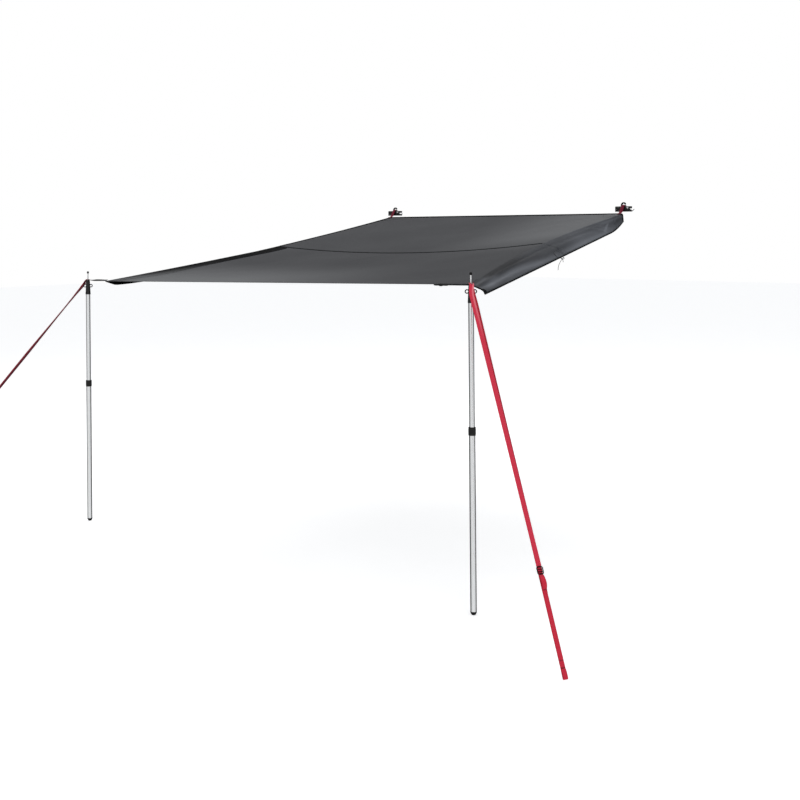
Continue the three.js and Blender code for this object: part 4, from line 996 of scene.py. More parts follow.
# %% [markdown]
# ## Hems, seam and patches
# Raw cloth frays, so every edge is turned. The rear edge and the flap's outer edge carry a cord in
# their hem, which makes a round dark roll that can be seen from far away, while the front edge is
# only folded flat. The two panels meet in a felled seam: both edges folded into each other and sewn
# down, which stands up as a rib. Each corner has a patch of heavier cloth to spread the pull.
# All of these follow the sheet's own grid, so they stay on it wherever it sags.

# %% Hems and the cross seam
hems, patches = [], []


def sewn(piece, cloth, group=hems):
    """Gives a sewn-on piece its cloth and keeps it with its group, later joined to one object."""
    piece.data.materials.append(cloth)
    if cloth in (canopy_cloth, flap_cloth):
        tint(piece)
    group.append(piece)


def along_cloth(name, s, t, profile, lift=0.0):
    """Carries a profile along a line of places on the cloth, its width lying on the cloth."""
    path = on_cloth(s, t, lift)
    return swept(name, path, np.cross(tangents(path), cloth_up(s, t)), profile)


whole, part = np.linspace(0, 1, 121), np.linspace(0, 1, 25)
seam_row = 0.5 + 0.5 * MM * np.sin(whole * 210 + 2 * np.sin(whole * 37)) / SHEET_DEPTH
flat_hem = band_profile(14 * MM, 2.6 * MM)
piping = 0.25 + 0.75 * np.clip((1 - whole) / 0.16, 0, 1)[:, None, None]
# Steps along a line, the columns and rows it runs over (from, by how much), its profile, how far it
# is lifted in millimetres, and its cloth
HEMS = {
    "rear_hem_roll": (whole, (1, 1), (0, 0), round_profile(7.0 * MM), 0, patch_cloth),
    "right_flap_hem_roll": (whole, (3, 0), (0, 1), round_profile(4.0 * MM), 0, patch_cloth),
    "right_flap_front_hem": (part, (2, 1), (1, 0), round_profile(3.6 * MM), 0, patch_cloth),
    "right_flap_rear_hem": (part, (2, 1), (0, 0), round_profile(7.0 * MM), 0, patch_cloth),
    "front_hem": (whole, (1.004, 0.992), (0.9974, 0), flat_hem, 0, canopy_cloth),
    "left_flap_hem": (whole, (0.035, 0), (0.004, 0.992), flat_hem, 0, patch_cloth),
    "left_flap_front_hem": (part, (0.04, 0.9), (0.9972, 0), flat_hem, 0, patch_cloth),
    "cross_seam": (
        whole, (1.002, 0.996), (seam_row, 0), band_profile(12 * MM, 5.0 * MM), 1.6, seam_cloth
    ),
    "cross_seam_right_flap": (
        part, (2.01, 0.985), (0.5, 0), band_profile(11 * MM, 1.6 * MM), 0.8, flap_cloth
    ),
    "cross_seam_left_flap": (
        part, (0.02, 0.9), (0.5, 0), band_profile(11 * MM, 3.6 * MM), 1.0, patch_cloth
    ),
    "left_fold_piping": (
        whole, (1, 0), (0.004, 0.57), round_profile(1.0)[None] * 6.0 * MM * piping, 3.0, patch_cloth
    ),
    "front_hem_right_end": (
        part, (1.93, 0.068), (0.9986, 0), round_profile(4.2 * MM), -2.0, patch_cloth
    ),
}
for name, (line, (s, wide), (t, deep), profile, lift, cloth) in HEMS.items():
    sewn(along_cloth(name, s + wide * line, t + deep * line, profile, lift * MM), cloth)
print(len(hems), "hems and seams")

# %% The painted shade strip on the front half of the left fold
# A dark strip of cloth, lying on the sheet, is painted shade along the fold where the flap is turned
# under. Its inner edge starts at the seam's end; each row of it runs from the fold to that edge.
STRIP_THICKNESS, STRIP_LIFT, STRIP_ROWS, METRES_PER_COLUMN = 0.9 * MM, 1.2 * MM, 120, 2.3
# Row shares, and how far the strip reaches across the middle there
STRIP_EDGE = np.array([
    [0.500, 0.012], [0.505, 0.05], [0.52, 0.056], [0.6, 0.046], [0.7, 0.045], [0.8, 0.052],
    [0.9, 0.058], [0.96, 0.045], [0.985, 0.015],
])
strip_t = np.linspace(STRIP_EDGE[0, 0], STRIP_EDGE[-1, 0], STRIP_ROWS)
strip_width, strip_steps = np.interp(strip_t, *STRIP_EDGE.T), np.linspace(0.0, 1.0, 15)
strip_s, row = 1.0 + strip_width[:, None] * strip_steps, strip_t[:, None]
strip_uv = np.stack([(strip_s - 1) * METRES_PER_COLUMN, row * SHEET_DEPTH + 0 * strip_s], -1)
strip_points = on_cloth(strip_s, row, STRIP_LIFT)
painted_shade_strip = layer_of_cloth("left_fold_painted_shade_strip", strip_points, strip_uv, STRIP_THICKNESS)
sewn(painted_shade_strip, painted_shade_cloth, patches)
# Its painted shade is darkest at the seam and fades to the sheet's lightness at the front
strip_painted_shade = 0.9 * soft_step(row, 0.7, 0.96) * strip_steps**2 + 0.35 * soft_step(row, 0.84, 1.0)
set_painted_light_and_shade(painted_shade_strip, strip_painted_shade)
print("strip up to", round(float(strip_width.max() * row_width(0.5) / MM)), "mm wide")

# %% Corner patches
PATCH_OUTLINE = np.array([[1.0, 0.0], [0.98, 0.22], [0.72, 0.72], [0.22, 0.98], [0.0, 1.0]])
# Where each patch's corner is, which way it spreads, its reach, cloth and lift in millimetres, and
# how far inside its outline the stitches run; a patch with no such number has none
CORNER_PATCHES = {
    "right_rear_patch": (2.0, 0.0, -1, 1, 0.13, canopy_cloth, 1.1, 0.0025),
    "right_front_patch": (2.0, 1.0, -1, -1, 0.13, canopy_cloth, 1.1, 0.0025),
    "left_rear_patch": (1.0, 0.0, 1, 1, 0.13, canopy_cloth, 1.1, 0.0025),
    "left_front_patch": (1.0, 1.0, 1, -1, 0.13, canopy_cloth, 1.1, 0.0025),
    "right_flap_rear_patch": (2.0, 0.0, 1, 1, 0.15, flap_cloth, 1.0, 0.0),
    "right_flap_front_patch": (3.0, 1.0, -1, -1, 0.026, patch_cloth, 1.0, None),
}
PATCH_THICKNESS, INSIDE_ROWS = 0.9 * MM, 0.0015
patch_edges = []
for name, (s, t, into_s, into_t, reach, cloth, lift, inside) in CORNER_PATCHES.items():
    # A fan from the corner to a blunt outline: corner + share x outline, in metres on the cloth
    offset = np.linspace(0.0, 1.0, 12)[:, None, None] * (smooth_path(PATCH_OUTLINE, 0.1) * reach)
    on_flap = "flap" in name
    wide = np.linalg.norm(on_cloth(3, t) - on_cloth(2, t)) if on_flap else row_width(t)
    patch_s = s + into_s * np.clip(offset[..., 0] / wide, 0.001, 0.995)
    patch_t = t + into_t * np.clip(offset[..., 1] / SHEET_DEPTH, 0.001, 1)
    points = on_cloth(patch_s, patch_t, lift * MM)
    facing = np.cross(points[1, 0] - points[0, 0], points[1, 1] - points[1, 0]) @ cloth_up(s, t)
    patch = layer_of_cloth(name, points, offset, PATCH_THICKNESS, turned=facing < 0)
    sewn(patch, cloth, patches)
    if inside is not None:
        edge = patch_s[-1] - into_s * inside, patch_t[-1] - into_t * INSIDE_ROWS
        patch_edges.append(edge)
print(len(CORNER_PATCHES), "corner patches,", len(patch_edges), "of them sewn")

# %% Half-round patches round the tie-out loops, with a turned edge
TIE_PATCHES = {"right": (0.53, 3.0, -1, 0.30, flap_cloth), "left": (0.5, 0.0, 1, 0.22, patch_cloth)}
TIE_PATCH_ROWS, STITCHED_AT, TIE_PATCH_LIFT = 0.022, 0.86, 1.3 * MM
turn = np.linspace(0.06, np.pi - 0.06, 40)
for side, (middle_t, edge_s, inward, reach, cloth) in TIE_PATCHES.items():
    share = np.linspace(0.0, 1.0, 10)[:, None]
    patch_s = edge_s + inward * np.clip(reach * share * np.sin(turn), 0.002, 1)
    patch_t = middle_t + inward * TIE_PATCH_ROWS * share * np.cos(turn)
    points = on_cloth(patch_s, patch_t, TIE_PATCH_LIFT)
    patch_uv = np.stack([patch_s * 0.2, patch_t * SHEET_DEPTH], -1)
    sewn(layer_of_cloth(side + "_tie_out_patch", points, patch_uv, PATCH_THICKNESS), cloth, patches)
    name, profile = side + "_tie_out_patch_edge", round_profile(1.1 * MM)
    sewn(along_cloth(name, patch_s[-1], patch_t[-1], profile, 1.4 * MM), seam_cloth)
    stitched_s = edge_s + STITCHED_AT * (patch_s[-1] - edge_s)
    patch_edges.append((stitched_s, middle_t + STITCHED_AT * (patch_t[-1] - middle_t)))
print(len(patch_edges), "patch edges to sew")

# %% [markdown]
# ## Stitches
# A lockstitch shows as a row of short thread grains, here 3.4 mm long every 5 mm. A painted dashed
# line would vanish at the edge of the cloth and could not catch light, so each grain is a real
# eight-sided grain. There are thousands, so all of them are made at once by adding one small shape
# to an array of places, and the whole set is a single mesh. Bonded thread is smooth, so it is a
# little glossier than the cloth that it holds.

# %% Rows of stitches
GRAIN = np.array([[0, -0.5, 0], [0, 0.5, 0], [0.5, 0, 0], [-0.5, 0, 0], [0, 0, 0.6], [0, 0, -0.4]])
GRAIN_FACES = np.array([
    [0, 2, 4], [2, 1, 4], [1, 3, 4], [3, 0, 4], [2, 0, 5], [1, 2, 5], [3, 1, 5], [0, 3, 5],
])
STITCH_PITCH, STITCH_SIZE = 5.0 * MM, (0.9 * MM, 3.4 * MM, 0.7 * MM)


def stitch_row(s, t, lift):
    """Places, heads and upward directions of stitches along a line of (s, t) places."""
    path = on_cloth(s, t, lift)
    run = run_along(path)
    at = np.arange(STITCH_PITCH / 2, run[-1], STITCH_PITCH)
    read = lambda v: np.stack([np.interp(at, run, v[:, k]) for k in range(3)], -1)
    return read(path), unit(read(tangents(path))), unit(read(cloth_up(s, t)))


def stitch_mesh(name, stitch_rows, size=STITCH_SIZE):
    """Every stitch is place + x * side + y * head + z * normal, for the grain's corners."""
    spot, head, normal = (np.concatenate(v)[:, None] for v in zip(*stitch_rows))
    x, y, z = (GRAIN * np.array(size)).T[:, None, :, None]
    points = spot + x * np.cross(head, normal) + y * head + z * normal
    faces = (GRAIN_FACES + 6 * np.arange(len(spot))[:, None, None]).reshape(-1, 3)
    print(name, len(spot), "stitches")
    return mesh_piece(name, points, faces, np.zeros((6 * len(spot), 2)), closed=False)


inside_s, inside_t = (1.004, 0.992), (0.004, 0.992)
# Steps along a line, the columns and rows it runs over (from, by how much), and its lift in mm
STITCH_LINES = [
    (whole, inside_s, (seam_row - 4.0 * MM / SHEET_DEPTH, 0), 3.3),
    (part, (2.02, 0.96), (0.5 - 4.0 * MM / SHEET_DEPTH, 0), 1.6),
    (whole, inside_s, (seam_row + 4.0 * MM / SHEET_DEPTH, 0), 3.3),
    (part, (2.02, 0.96), (0.5 + 4.0 * MM / SHEET_DEPTH, 0), 1.6),
    (whole, inside_s, (0.0045, 0), 0.8),
    (whole, inside_s, (0.9954, 0), 1.4),
    (whole, inside_s, (0.9988, 0), 1.5),
    (whole, (2.915 + 0.03 * hump(whole), 0), inside_t, 0.8),
    (0 * strip_t, (1.0 + strip_width - 0.003, 0), (strip_t, 0), 2.0),
    (part, (2.0, 0.96), (0.9965, 0), 0.8),
]
stitch_rows = [
    stitch_row(s + wide * line, t + deep * line, lift * MM)
    for line, (s, wide), (t, deep), lift in STITCH_LINES
]
stitch_rows += [stitch_row(*edge, 1.8 * MM) for edge in patch_edges]
stitching = stitch_mesh("sheet_stitching", stitch_rows)
stitching.data.materials.append(sewing_thread)
sewn_pieces = [joined_pieces("sheet_hems_and_seams", hems), joined_pieces("sheet_patches", patches)]
sewn_pieces.append(stitching)
for piece in sewn_pieces:
    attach(piece, "awning")
print("sewn on", [piece.name for piece in sewn_pieces])

# %% [markdown]
# ## Ends of the webbing
# Webbing ends are always turned back and sewn: a flat tab with a hole sits over each spike, the
# guy's lower end is a loop for a peg, and black tabs tie the sheet's corners to the same spikes.
# A tab is a plate round a hole, whose outline is a half circle at the back and a box in front.

# %% Tabs with a hole
HOLE_OVER_SPIKE, TAB_PAST_APEX, TAB_OVERLAP = 5.8 * MM, 4 * MM, 2 * MM


def tab_plate(name, centre, along, across, hole, half_width, reach, thickness):
    """Rings from the hole out to min(reach / cos, half width / |sin|), or to a half circle."""
    angle = around(120)
    cosine, sine = np.cos(angle), np.sin(angle)
    box = np.minimum(reach / np.maximum(cosine, 1e-6), half_width / np.maximum(np.abs(sine), 1e-6))
    outline = np.where(cosine > 0, box, half_width)
    radius = hole + (outline - hole) * np.linspace(0, 1, 7)[:, None]
    flat = np.stack([radius * sine, radius * cosine], -1)
    points = centre + flat[..., :1] * across + flat[..., 1:] * along
    return layer_of_cloth(name, points, flat, thickness, wrap_columns=True)


theta, half_loop = around(56), PEG_LOOP_LENGTH / 2
band = band_profile(WEBBING_WIDTH, WEBBING_THICKNESS)
guy_extras = {}
for side in SIDES:
    g = guys[side]
    tab = tab_plate(
        side + "_guy_top_tab", g["apex"] - g["out"] * GUY_TAB_REACH, g["out"], g["across"],
        HOLE_OVER_SPIKE, HALF_BAND, GUY_TAB_REACH - TAB_PAST_APEX + TAB_OVERLAP, WEBBING_THICKNESS,
    )
    loop_along = g["length"] - half_loop - (half_loop - MM) * np.cos(theta)
    loop_lift = (PEG_LOOP_DEPTH / 2 - MM) * np.sin(theta) * (0.8 - 0.2 * np.cos(theta))
    loop_path = on_guy(side, loop_along, loop_lift)
    peg_loop = swept(side + "_guy_peg_loop", loop_path, g["across"], band, closed_path=True)
    for piece in (tab, peg_loop):
        dressed(piece, guy_cloth[side], "red_webbing", "awning")
    guy_extras[side] = {"front_leg": [tab], "lower_strap": [peg_loop]}
print("tabs and peg loops", len(guy_extras) * 2)

# %% [markdown]
# ## Bar tacks
# Where webbing carries load it is joined by bar tacks, which are dense zigzags of heavy thread.
# Each row here is about two dozen slanted grains side by side across the band.

# %% Bar tacks on the guys
TACK_SIZE, GUY_TACK_WIDTH, TAB_TACK_WIDTH = (0.8 * MM, 3.0 * MM, 0.8 * MM), 17 * MM, 16 * MM


def tack_row(spot, across, along, normal, width, count=22):
    """Stitch places in a row across a band, their heads slanting to and fro."""
    share = np.linspace(-0.5, 0.5, count)[:, None]
    slant = np.where(np.arange(count) % 2, 0.35, -0.35)[:, None]
    return spot + share * width * across, unit(along + slant * across), normal + 0 * share


for side in SIDES:
    g = guys[side]
    tail_end = g["buckle_top"] + BUCKLE_LENGTH + TAIL_START + 0.93 * TAIL_LENGTH
    strap_end = g["length"] - PEG_LOOP_LENGTH - 6 * MM
    # Places down the guy, and lifts in millimetres
    tacked = [(tail_end, 2.3), (tail_end + 3 * MM, 2.2)]
    tacked += [(strap_end + after * MM, -0.2) for after in (0, 3, -26, -29)]
    lower = [
        tack_row(on_guy(side, along, lift * MM), g["across"], g["down"], g["front"], GUY_TACK_WIDTH)
        for along, lift in tacked
    ]
    upper = [
        tack_row(spot, g["across"], g["out"], overhead, TAB_TACK_WIDTH)
        for spot in g["apex"] + np.outer([1.5 * MM, 4.0 * MM], g["out"]) + 1.0 * MM * overhead
    ]
    for leg, tack_rows in (("front_leg", upper), ("lower_strap", lower)):
        tack = stitch_mesh(f"{side}_guy_{leg}_tacks", tack_rows, TACK_SIZE)
        guy_extras[side][leg].append(dressed(tack, bar_tack_thread, "red_webbing", "awning"))
print("extras of a front leg", [piece.name for piece in guy_extras["right"]["front_leg"]])

# %% [markdown]
# ## Ladder-lock buckles
# A ladder lock is one moulding: a rounded frame with two inner bars, and a lip at its lower end
# that a thumb lifts to let the webbing slip. Its frame is a closed path with a rounded section,
# and each bar is a short rod from side to side, so nothing in it is square.

# %% Frame, bars and lip
BUCKLE_WIDTH, BUCKLE_THICKNESS, BUCKLE_BAR, BUCKLE_RAIL = 31 * MM, 4 * MM, 4.5 * MM, 3.2 * MM
HALF_BUCKLE, BUCKLE_INSIDE = BUCKLE_THICKNESS / 2, BUCKLE_WIDTH / 2 - BUCKLE_RAIL
# Each rod across the frame: how far down it lies, its lift and half length, its points, and its
# section's radius, sides and flatness
BUCKLE_RODS = [
    (0.36 * BUCKLE_LENGTH, HALF_BUCKLE, BUCKLE_INSIDE + MM, 5, 0.86 * HALF_BUCKLE, 12, 1.0),
    (0.66 * BUCKLE_LENGTH, HALF_BUCKLE, BUCKLE_INSIDE + MM, 5, 0.86 * HALF_BUCKLE, 12, 1.15),
    (BUCKLE_LENGTH - 2.2 * MM, 1.8 * HALF_BUCKLE, 0.8 * BUCKLE_INSIDE, 9, 1.1 * MM, 10, 2.2),
]


def rounded_box_path(length, width, radius, steps=9):
    """Points round a box with rounded corners: quarter circles about its four inner corners."""
    made = []
    for k, (x, y) in enumerate([(1, 1), (-1, 1), (-1, -1), (1, -1)]):
        angle = np.linspace(0, np.pi / 2, steps) + k * np.pi / 2
        middle = x * (length / 2 - radius), y * (width / 2 - radius)
        made.append(middle + radius * np.stack([np.cos(angle), np.sin(angle)], -1))
    return np.concatenate(made)


buckles = {}
outline = rounded_box_path(BUCKLE_LENGTH - BUCKLE_BAR, BUCKLE_WIDTH - BUCKLE_RAIL, 5 * MM)
rail = round_profile(HALF_BUCKLE, 12, BUCKLE_BAR / BUCKLE_THICKNESS)
for side in SIDES:
    top, facing = guys[side]["buckle_top"], guys[side]["front"]
    around_it = on_guy(side, top + BUCKLE_LENGTH / 2 + outline[:, 0], HALF_BUCKLE, outline[:, 1])
    parts = [swept("buckle_frame", around_it, facing, rail, closed_path=True)]
    for along, lift, half, count, radius, sides, flat in BUCKLE_RODS:
        rod = on_guy(side, top + along, lift, np.linspace(-half, half, count))
        parts.append(swept("buckle_rod", rod, facing, round_profile(radius, sides, flat)))
    body = side + "_guy_buckle"
    buckles[side] = joined_pieces(side + "_guy_ladder_lock", parts)
    dressed(buckles[side], buckle_plastic, "pole_plastic", body, body)
    print(buckles[side].name, len(buckles[side].data.polygons), "faces")

# %% [markdown]
# ## Corner tabs, eyelets and trim
# Each front corner of the sheet ends in a black webbing tab with a pressed steel eyelet that drops
# over the spike. The left tab is long and rolls a little in the wind, which is why its edge shows.
# In the middle of each flap's edge a small webbing loop takes a tie-out line, and a short grey cord
# is knotted to the right one.

# %% Corner tabs
EYELET_LIFT, TAB_HALF, TAB_THICKNESS, TAB_LAP = 0.554 * MM, 14 * MM, 2 * MM, 18 * MM
PLATE_REACH, TAB_HOLE, STRAP_ROLL = 17 * MM, 9.3 * MM, {"right": 0.0, "left": math.radians(20)}
STRAP_NODE = {"right": "right_corner_tab", "left": "left_corner_strap"}
CORNER_TACK_SIZE, CORNER_TACK_WIDTH, CORNER_TACKS = (0.8 * MM, 3.0 * MM, 0.7 * MM), 24 * MM, 26
eyelet_places = {
    side: place(OUTWARD[side] * POLE_REACH, POLE_Y, TIE_HEIGHT[side] + EYELET_LIFT)
    for side in SIDES
}
corner_straps = {}
for side in SIDES:
    eyelet, corner = eyelet_places[side], ridge(side, np.array([1.0]))[0]
    inward = (corner - eyelet) * [1, 1, 0]
    run, reach = unit(inward), float(np.linalg.norm(inward)) + TAB_LAP
    beside = np.cross(overhead, run)
    plate = tab_plate(
        side + "_corner_tab_end", eyelet, run, beside,
        TAB_HOLE, TAB_HALF, PLATE_REACH, TAB_THICKNESS,
    )
    away = np.linspace(PLATE_REACH - 0.5 * MM, reach, 24 if reach > 0.1 else 8)[:, None]
    rolled = soft_step(away, away[0], 0.07) - 0.25 * soft_step(away, 0.6 * reach, reach - TAB_LAP)
    roll = STRAP_ROLL[side] * rolled
    strap = webbing(
        side + "_corner_strap_webbing", eyelet + away * run,
        np.cos(roll) * beside + np.sin(roll) * overhead, 2 * TAB_HALF, TAB_THICKNESS,
    )
    on_top = eyelet + (TAB_THICKNESS / 2 + 0.1 * MM) * overhead
    tacks = [
        tack_row(on_top + at * run, beside, run, overhead, CORNER_TACK_WIDTH, CORNER_TACKS)
        for at in (PLATE_REACH - MM, PLATE_REACH + 2 * MM, reach - 4 * MM, reach - 12 * MM)
    ]
    tack = stitch_mesh(side + "_corner_tacks", tacks, CORNER_TACK_SIZE)
    dressed(plate, black_webbing, "black_webbing", "awning")
    dressed(strap, black_webbing, "black_webbing", "awning", STRAP_NODE[side])
    dressed(tack, sewing_thread, "black_webbing", "awning")
    corner_straps[side] = (strap, plate, tack)
    print(strap.name, round(reach, 3), "m")

# %% [markdown]
# ## Turned parts
# Tubes, collars, heads and spikes are all turned or extruded round one axis, so they are drawn the
# way a lathe makes them: a profile of (radius, height) pairs goes round that axis. A function of
# the angle and the height adds ribs. Sixty-four sides are enough that no facet shows in a bright
# reflection on a tube, and ribs need a few sides each.

# %% The lathe
SHARP_ANGLE = math.radians(35)


def lathe(name, foot, profile, sides=64, axis=overhead, ring=False, ribs=None):
    """foot + axis x height + radius x (cos, sin); ribs(angle, height) adds to the radius.

    The profile of a ring closes on itself.
    """
    angle, radius, height = around(sides), profile[:, :1], profile[:, 1:]
    first = unit(np.cross(rearwards if abs(axis[1]) < 0.9 else sideways, axis))
    spoke = np.cos(angle)[:, None] * first + np.sin(angle)[:, None] * np.cross(axis, first)
    uv = np.stack(np.broadcast_arrays(angle * radius.max(), height), -1)
    radius = radius + (ribs(angle, height) if ribs else 0 * angle)
    points = foot + height[..., None] * axis + radius[..., None] * spoke
    faces = grid_faces(len(profile), sides, wrap_rows=ring, wrap_columns=True)
    faces = faces if ring else with_ends(faces, len(profile), sides)
    made = mesh_piece(name, points, faces, uv)
    made.data.set_sharp_from_angle(angle=SHARP_ANGLE)
    return made


def millimetres(pairs, height=0.0):
    """A profile of pairs in millimetres, above a height in metres."""
    return np.array(pairs) * MM + [0, height]


def bead(radius, height, reach):
    """A half-round bead: (radius + reach sin, height + reach (1 - cos)) over half a turn."""
    turn = np.linspace(0, np.pi, 5)
    return [(radius + reach * math.sin(a), height + reach * (1 - math.cos(a))) for a in turn]


print("a bead has", len(bead(1, 0, 1)), "points")

# %% [markdown]
# ## The telescopic poles
# A twist-lock collar clamps the thinner upper tube inside the lower one. The head is a moulded
# socket on the upper tube, wider at its open end, with flutes for a wet hand; it carries the steel
# spike and two wire eyes. The spike has a rubber cap so that it doesn't tear the cloth in the bag.

# %% Measures of a pole
LOWER_OUTER, LOWER_BORE, LOWER_BREAK = 15.5 * MM, 14.0 * MM, 0.5
UPPER_OUTER, UPPER_BORE, UPPER_BREAK = 13.5 * MM, 12.3 * MM, 1.1
FOOT_HEIGHT, COLLAR_BOTTOM, UPPER_BOTTOM, LOWER_TOP_END = 16 * MM, 858 * MM, 748 * MM, 879.7 * MM
HEAD_HEIGHT, HEAD_SOCKET, CAP_FOOT, CAP_HEIGHT = 91 * MM, 24 * MM, 43 * MM, 13 * MM
EYE_RADIUS, EYE_WIRE, EYE_REACH, EYE_DROP = 8.4 * MM, 5.4 * MM, 19 * MM, 36 * MM
EYE_TURN, BEVEL, BEVEL_RISE = math.radians(39), 0.3 * MM, 0.4 * MM

# Profiles as pairs of a radius and a height over the part's foot, in millimetres
FOOT_PROFILE = [
    (2, 0), (8.4, 0), (9.6, 0.8), (12.6, 4.6), (12.2, 5.2), (14.4, 8), (14, 8.7), (15.4, 11),
    *bead(15.3, 12.2, 0.8), (15.5, 15.2), (15.2, 16), (13.6, 16), (13.6, 40), (2, 41),
]
COLLAR_PROFILE = [
    (15.8, 0), (17, 0), (18, 0.8), (18.2, 3.4), (17.6, 4.2), (17.8, 5.5),
    *[(17.7, height) for height in np.linspace(8, 32, 7)],
    (17.8, 34.5), (17.6, 35.8), (18.2, 36.6), (18, 39.2), (17, 40), (13.9, 40), (13.9, 22.2),
    (15.8, 22),
]
HEAD_PROFILE = [
    (13.9, 0), (15.6, 0), *bead(15.6, 0.4, 1), *bead(15.4, 3.4, 1),
    *[(16 - 4 * u**0.8, 6.5 + 79 * u) for u in np.linspace(0, 1, 15)],
    *[(12 * math.cos(a), 85.5 + 4.6 * math.sin(a)) for a in np.linspace(0.1, 1.15, 8)],
    (4.3, 89.8), (4.3, 67), (11.6, 65), (11.6, 25), (13.9, 24.6),
]
# This one's heights count from the height where the corner is tied
SPIKE_PROFILE = [(0.4, -23.5), (4, -23.5), (4, 1), (3.88, 2), (3.8, 49), (2.4, 51), (0.4, 51)]
CAP_PROFILE = [
    (4.2, 0), (5.4, 0), *bead(5.3, 0.3, 1.1), (5.9, 3.2),
    *[(6.5 * math.cos(a) ** 0.7, 8 + 5 * math.sin(a)) for a in np.linspace(0, 1.45, 8)],
    (0.4, 13), (0.4, 8.4), (4.2, 8.4),
]


def tube_profile(outer, bore, bottom, top, between):
    """A tube's wall in metres, with bevels on its outer edges and a ring of points in between."""
    return np.array([
        (bore, bottom), (outer - BEVEL, bottom), (outer, bottom + BEVEL_RISE), (outer, between),
        (outer, top - BEVEL), (outer - BEVEL, top), (bore, top), (bore, between),
    ])


def collar_ribs(angle, height):
    """Twenty-eight ribs round the collar's grip, 0.7 mm proud, that fade out at both ends."""
    up = (height - COLLAR_BOTTOM) / MM
    inside = np.clip(np.minimum(up - 5, 35 - up) / 3, 0, 1)
    return 0.7 * MM * inside * np.maximum(np.cos(28 * angle), -0.4)


def head_flutes(head_foot):
    """Twelve shallow flutes, 0.6 mm deep, up the lower two thirds of a head that starts there."""

    def flutes(angle, height):
        """-0.6 mm x max(cos 12 angle, 0)^2, fading out at 7 and at 58 mm."""
        up = (height - head_foot) / MM
        inside = np.clip((up - 7) / 4, 0, 1) * np.clip((58 - up) / 8, 0, 1)
        return -0.6 * MM * inside * np.maximum(np.cos(12 * angle), 0) ** 2

    return flutes


print("profiles of", len(HEAD_PROFILE), "points for a head,", len(COLLAR_PROFILE), "for a collar")

# %% Both poles
EYES = {"outer_eye": 1, "inner_eye": -1}
turn, eye_way = around(48)[:, None], place(math.cos(EYE_TURN), math.sin(EYE_TURN), 0)
eye_ring = EYE_RADIUS * (np.cos(turn) * eye_way + np.sin(turn) * overhead)
for side in SIDES:
    pole, foot = side + "_pole_", place(OUTWARD[side] * POLE_REACH, POLE_Y, GROUND)
    upper, lower, collar = side + "_upper_pole", side + "_lower_pole", side + "_lock_collar"
    tie = TIE_HEIGHT[side] - GROUND
    head_foot, low_end = tie - HEAD_HEIGHT, FOOT_HEIGHT + CLEARANCE
    lower_wall = tube_profile(LOWER_OUTER, LOWER_BORE, low_end, LOWER_TOP_END, LOWER_BREAK)
    upper_wall = tube_profile(
        UPPER_OUTER, UPPER_BORE, UPPER_BOTTOM, head_foot + HEAD_SOCKET, UPPER_BREAK
    )
    # Piece and node, profile, sides, whether it is a ring, ribs; finish, slot and body
    turned = [
        ("rubber_foot", "foot", millimetres(FOOT_PROFILE), 64, False, None,
         foot_rubber, "pole_rubber", lower),
        ("drawn_lower_tube", "lower_tube", lower_wall, 64, True, None,
         anodised, "pole_tube", lower),
        ("drawn_upper_tube", "upper_tube", upper_wall, 64, True, None,
         anodised, "pole_tube", upper),
        ("twist_collar", "collar", millimetres(COLLAR_PROFILE, COLLAR_BOTTOM), 168, True,
         collar_ribs, black_plastic, "pole_plastic", collar),
        ("moulded_head", "head", millimetres(HEAD_PROFILE, head_foot), 96, True,
         head_flutes(head_foot), black_plastic, "pole_plastic", upper),
        ("turned_spike", "spike", millimetres(SPIKE_PROFILE, tie), 40, False, None,
         bright_steel, "bright_steel", upper),
        ("spike_cap", "cap", millimetres(CAP_PROFILE, tie + CAP_FOOT), 40, True, None,
         foot_rubber, "pole_plastic", upper),
    ]
    for name, node, profile, sides, ring, ribs, finish, slot, body in turned:
        piece = lathe(pole + name, foot, profile, sides, ring=ring, ribs=ribs)
        dressed(piece, finish, slot, body, pole + node)
    for eye, way in EYES.items():
        middle = foot + way * EYE_REACH * eye_way + (tie - EYE_DROP) * overhead
        wire, across = round_profile(EYE_WIRE / 2), np.cross(eye_way, overhead)
        ring = swept(pole + eye + "_ring", middle + eye_ring, across, wire, closed_path=True)
        dressed(ring, coated_wire, "black_steel", upper, pole + eye)
    print(side, "pole", round(tie + CAP_FOOT + CAP_HEIGHT, 3), "m tall")

# %% [markdown]
# ## The two clamps
# Each clamp bites on a lip 8 mm thick. An upper jaw with a front wall, a lower jaw that a cam draws
# up, rubber pads between them, and on top a hook for the sling. The jaws are glass-filled nylon,
# moulded with a rim and ribs that keep their thick walls from sinking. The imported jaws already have
# their working shape, so they keep it and get their finish, and the rim and ribs are added on them.

# %% Rims and ribs on the jaws
CLAMP_REACH, CLAMP_FRONT = 0.990, -0.021
# In millimetres from the middle of the front wall, at the upper pad's level
CLAMP_TOP, LOWER_TOP, LOWER_FOOT = 14.3, -10.3, -21.3
CAM_REACH, CAM_HEIGHT, PIN_PLACE = 41, 3.3, -4.6
PIN_PROFILE = [
    (0.3, 1.9),
    *[(6 * math.sin(a) + 0.25, 1.9 * math.cos(a)) for a in np.linspace(0.15, np.pi / 2, 8)],
    (6.25, -3.6), (5.2, -3.9), (0.3, -3.9),
]
FINISHES = {
    "_clamp_upper_jaw": black_plastic, "_clamp_lower_jaw": black_plastic,
    "_clamp_upper_pad": pad_rubber, "_clamp_lower_pad": pad_rubber,
    "_clamp_cam_pin": bright_steel, "_pole_inner_lock": black_plastic,
}
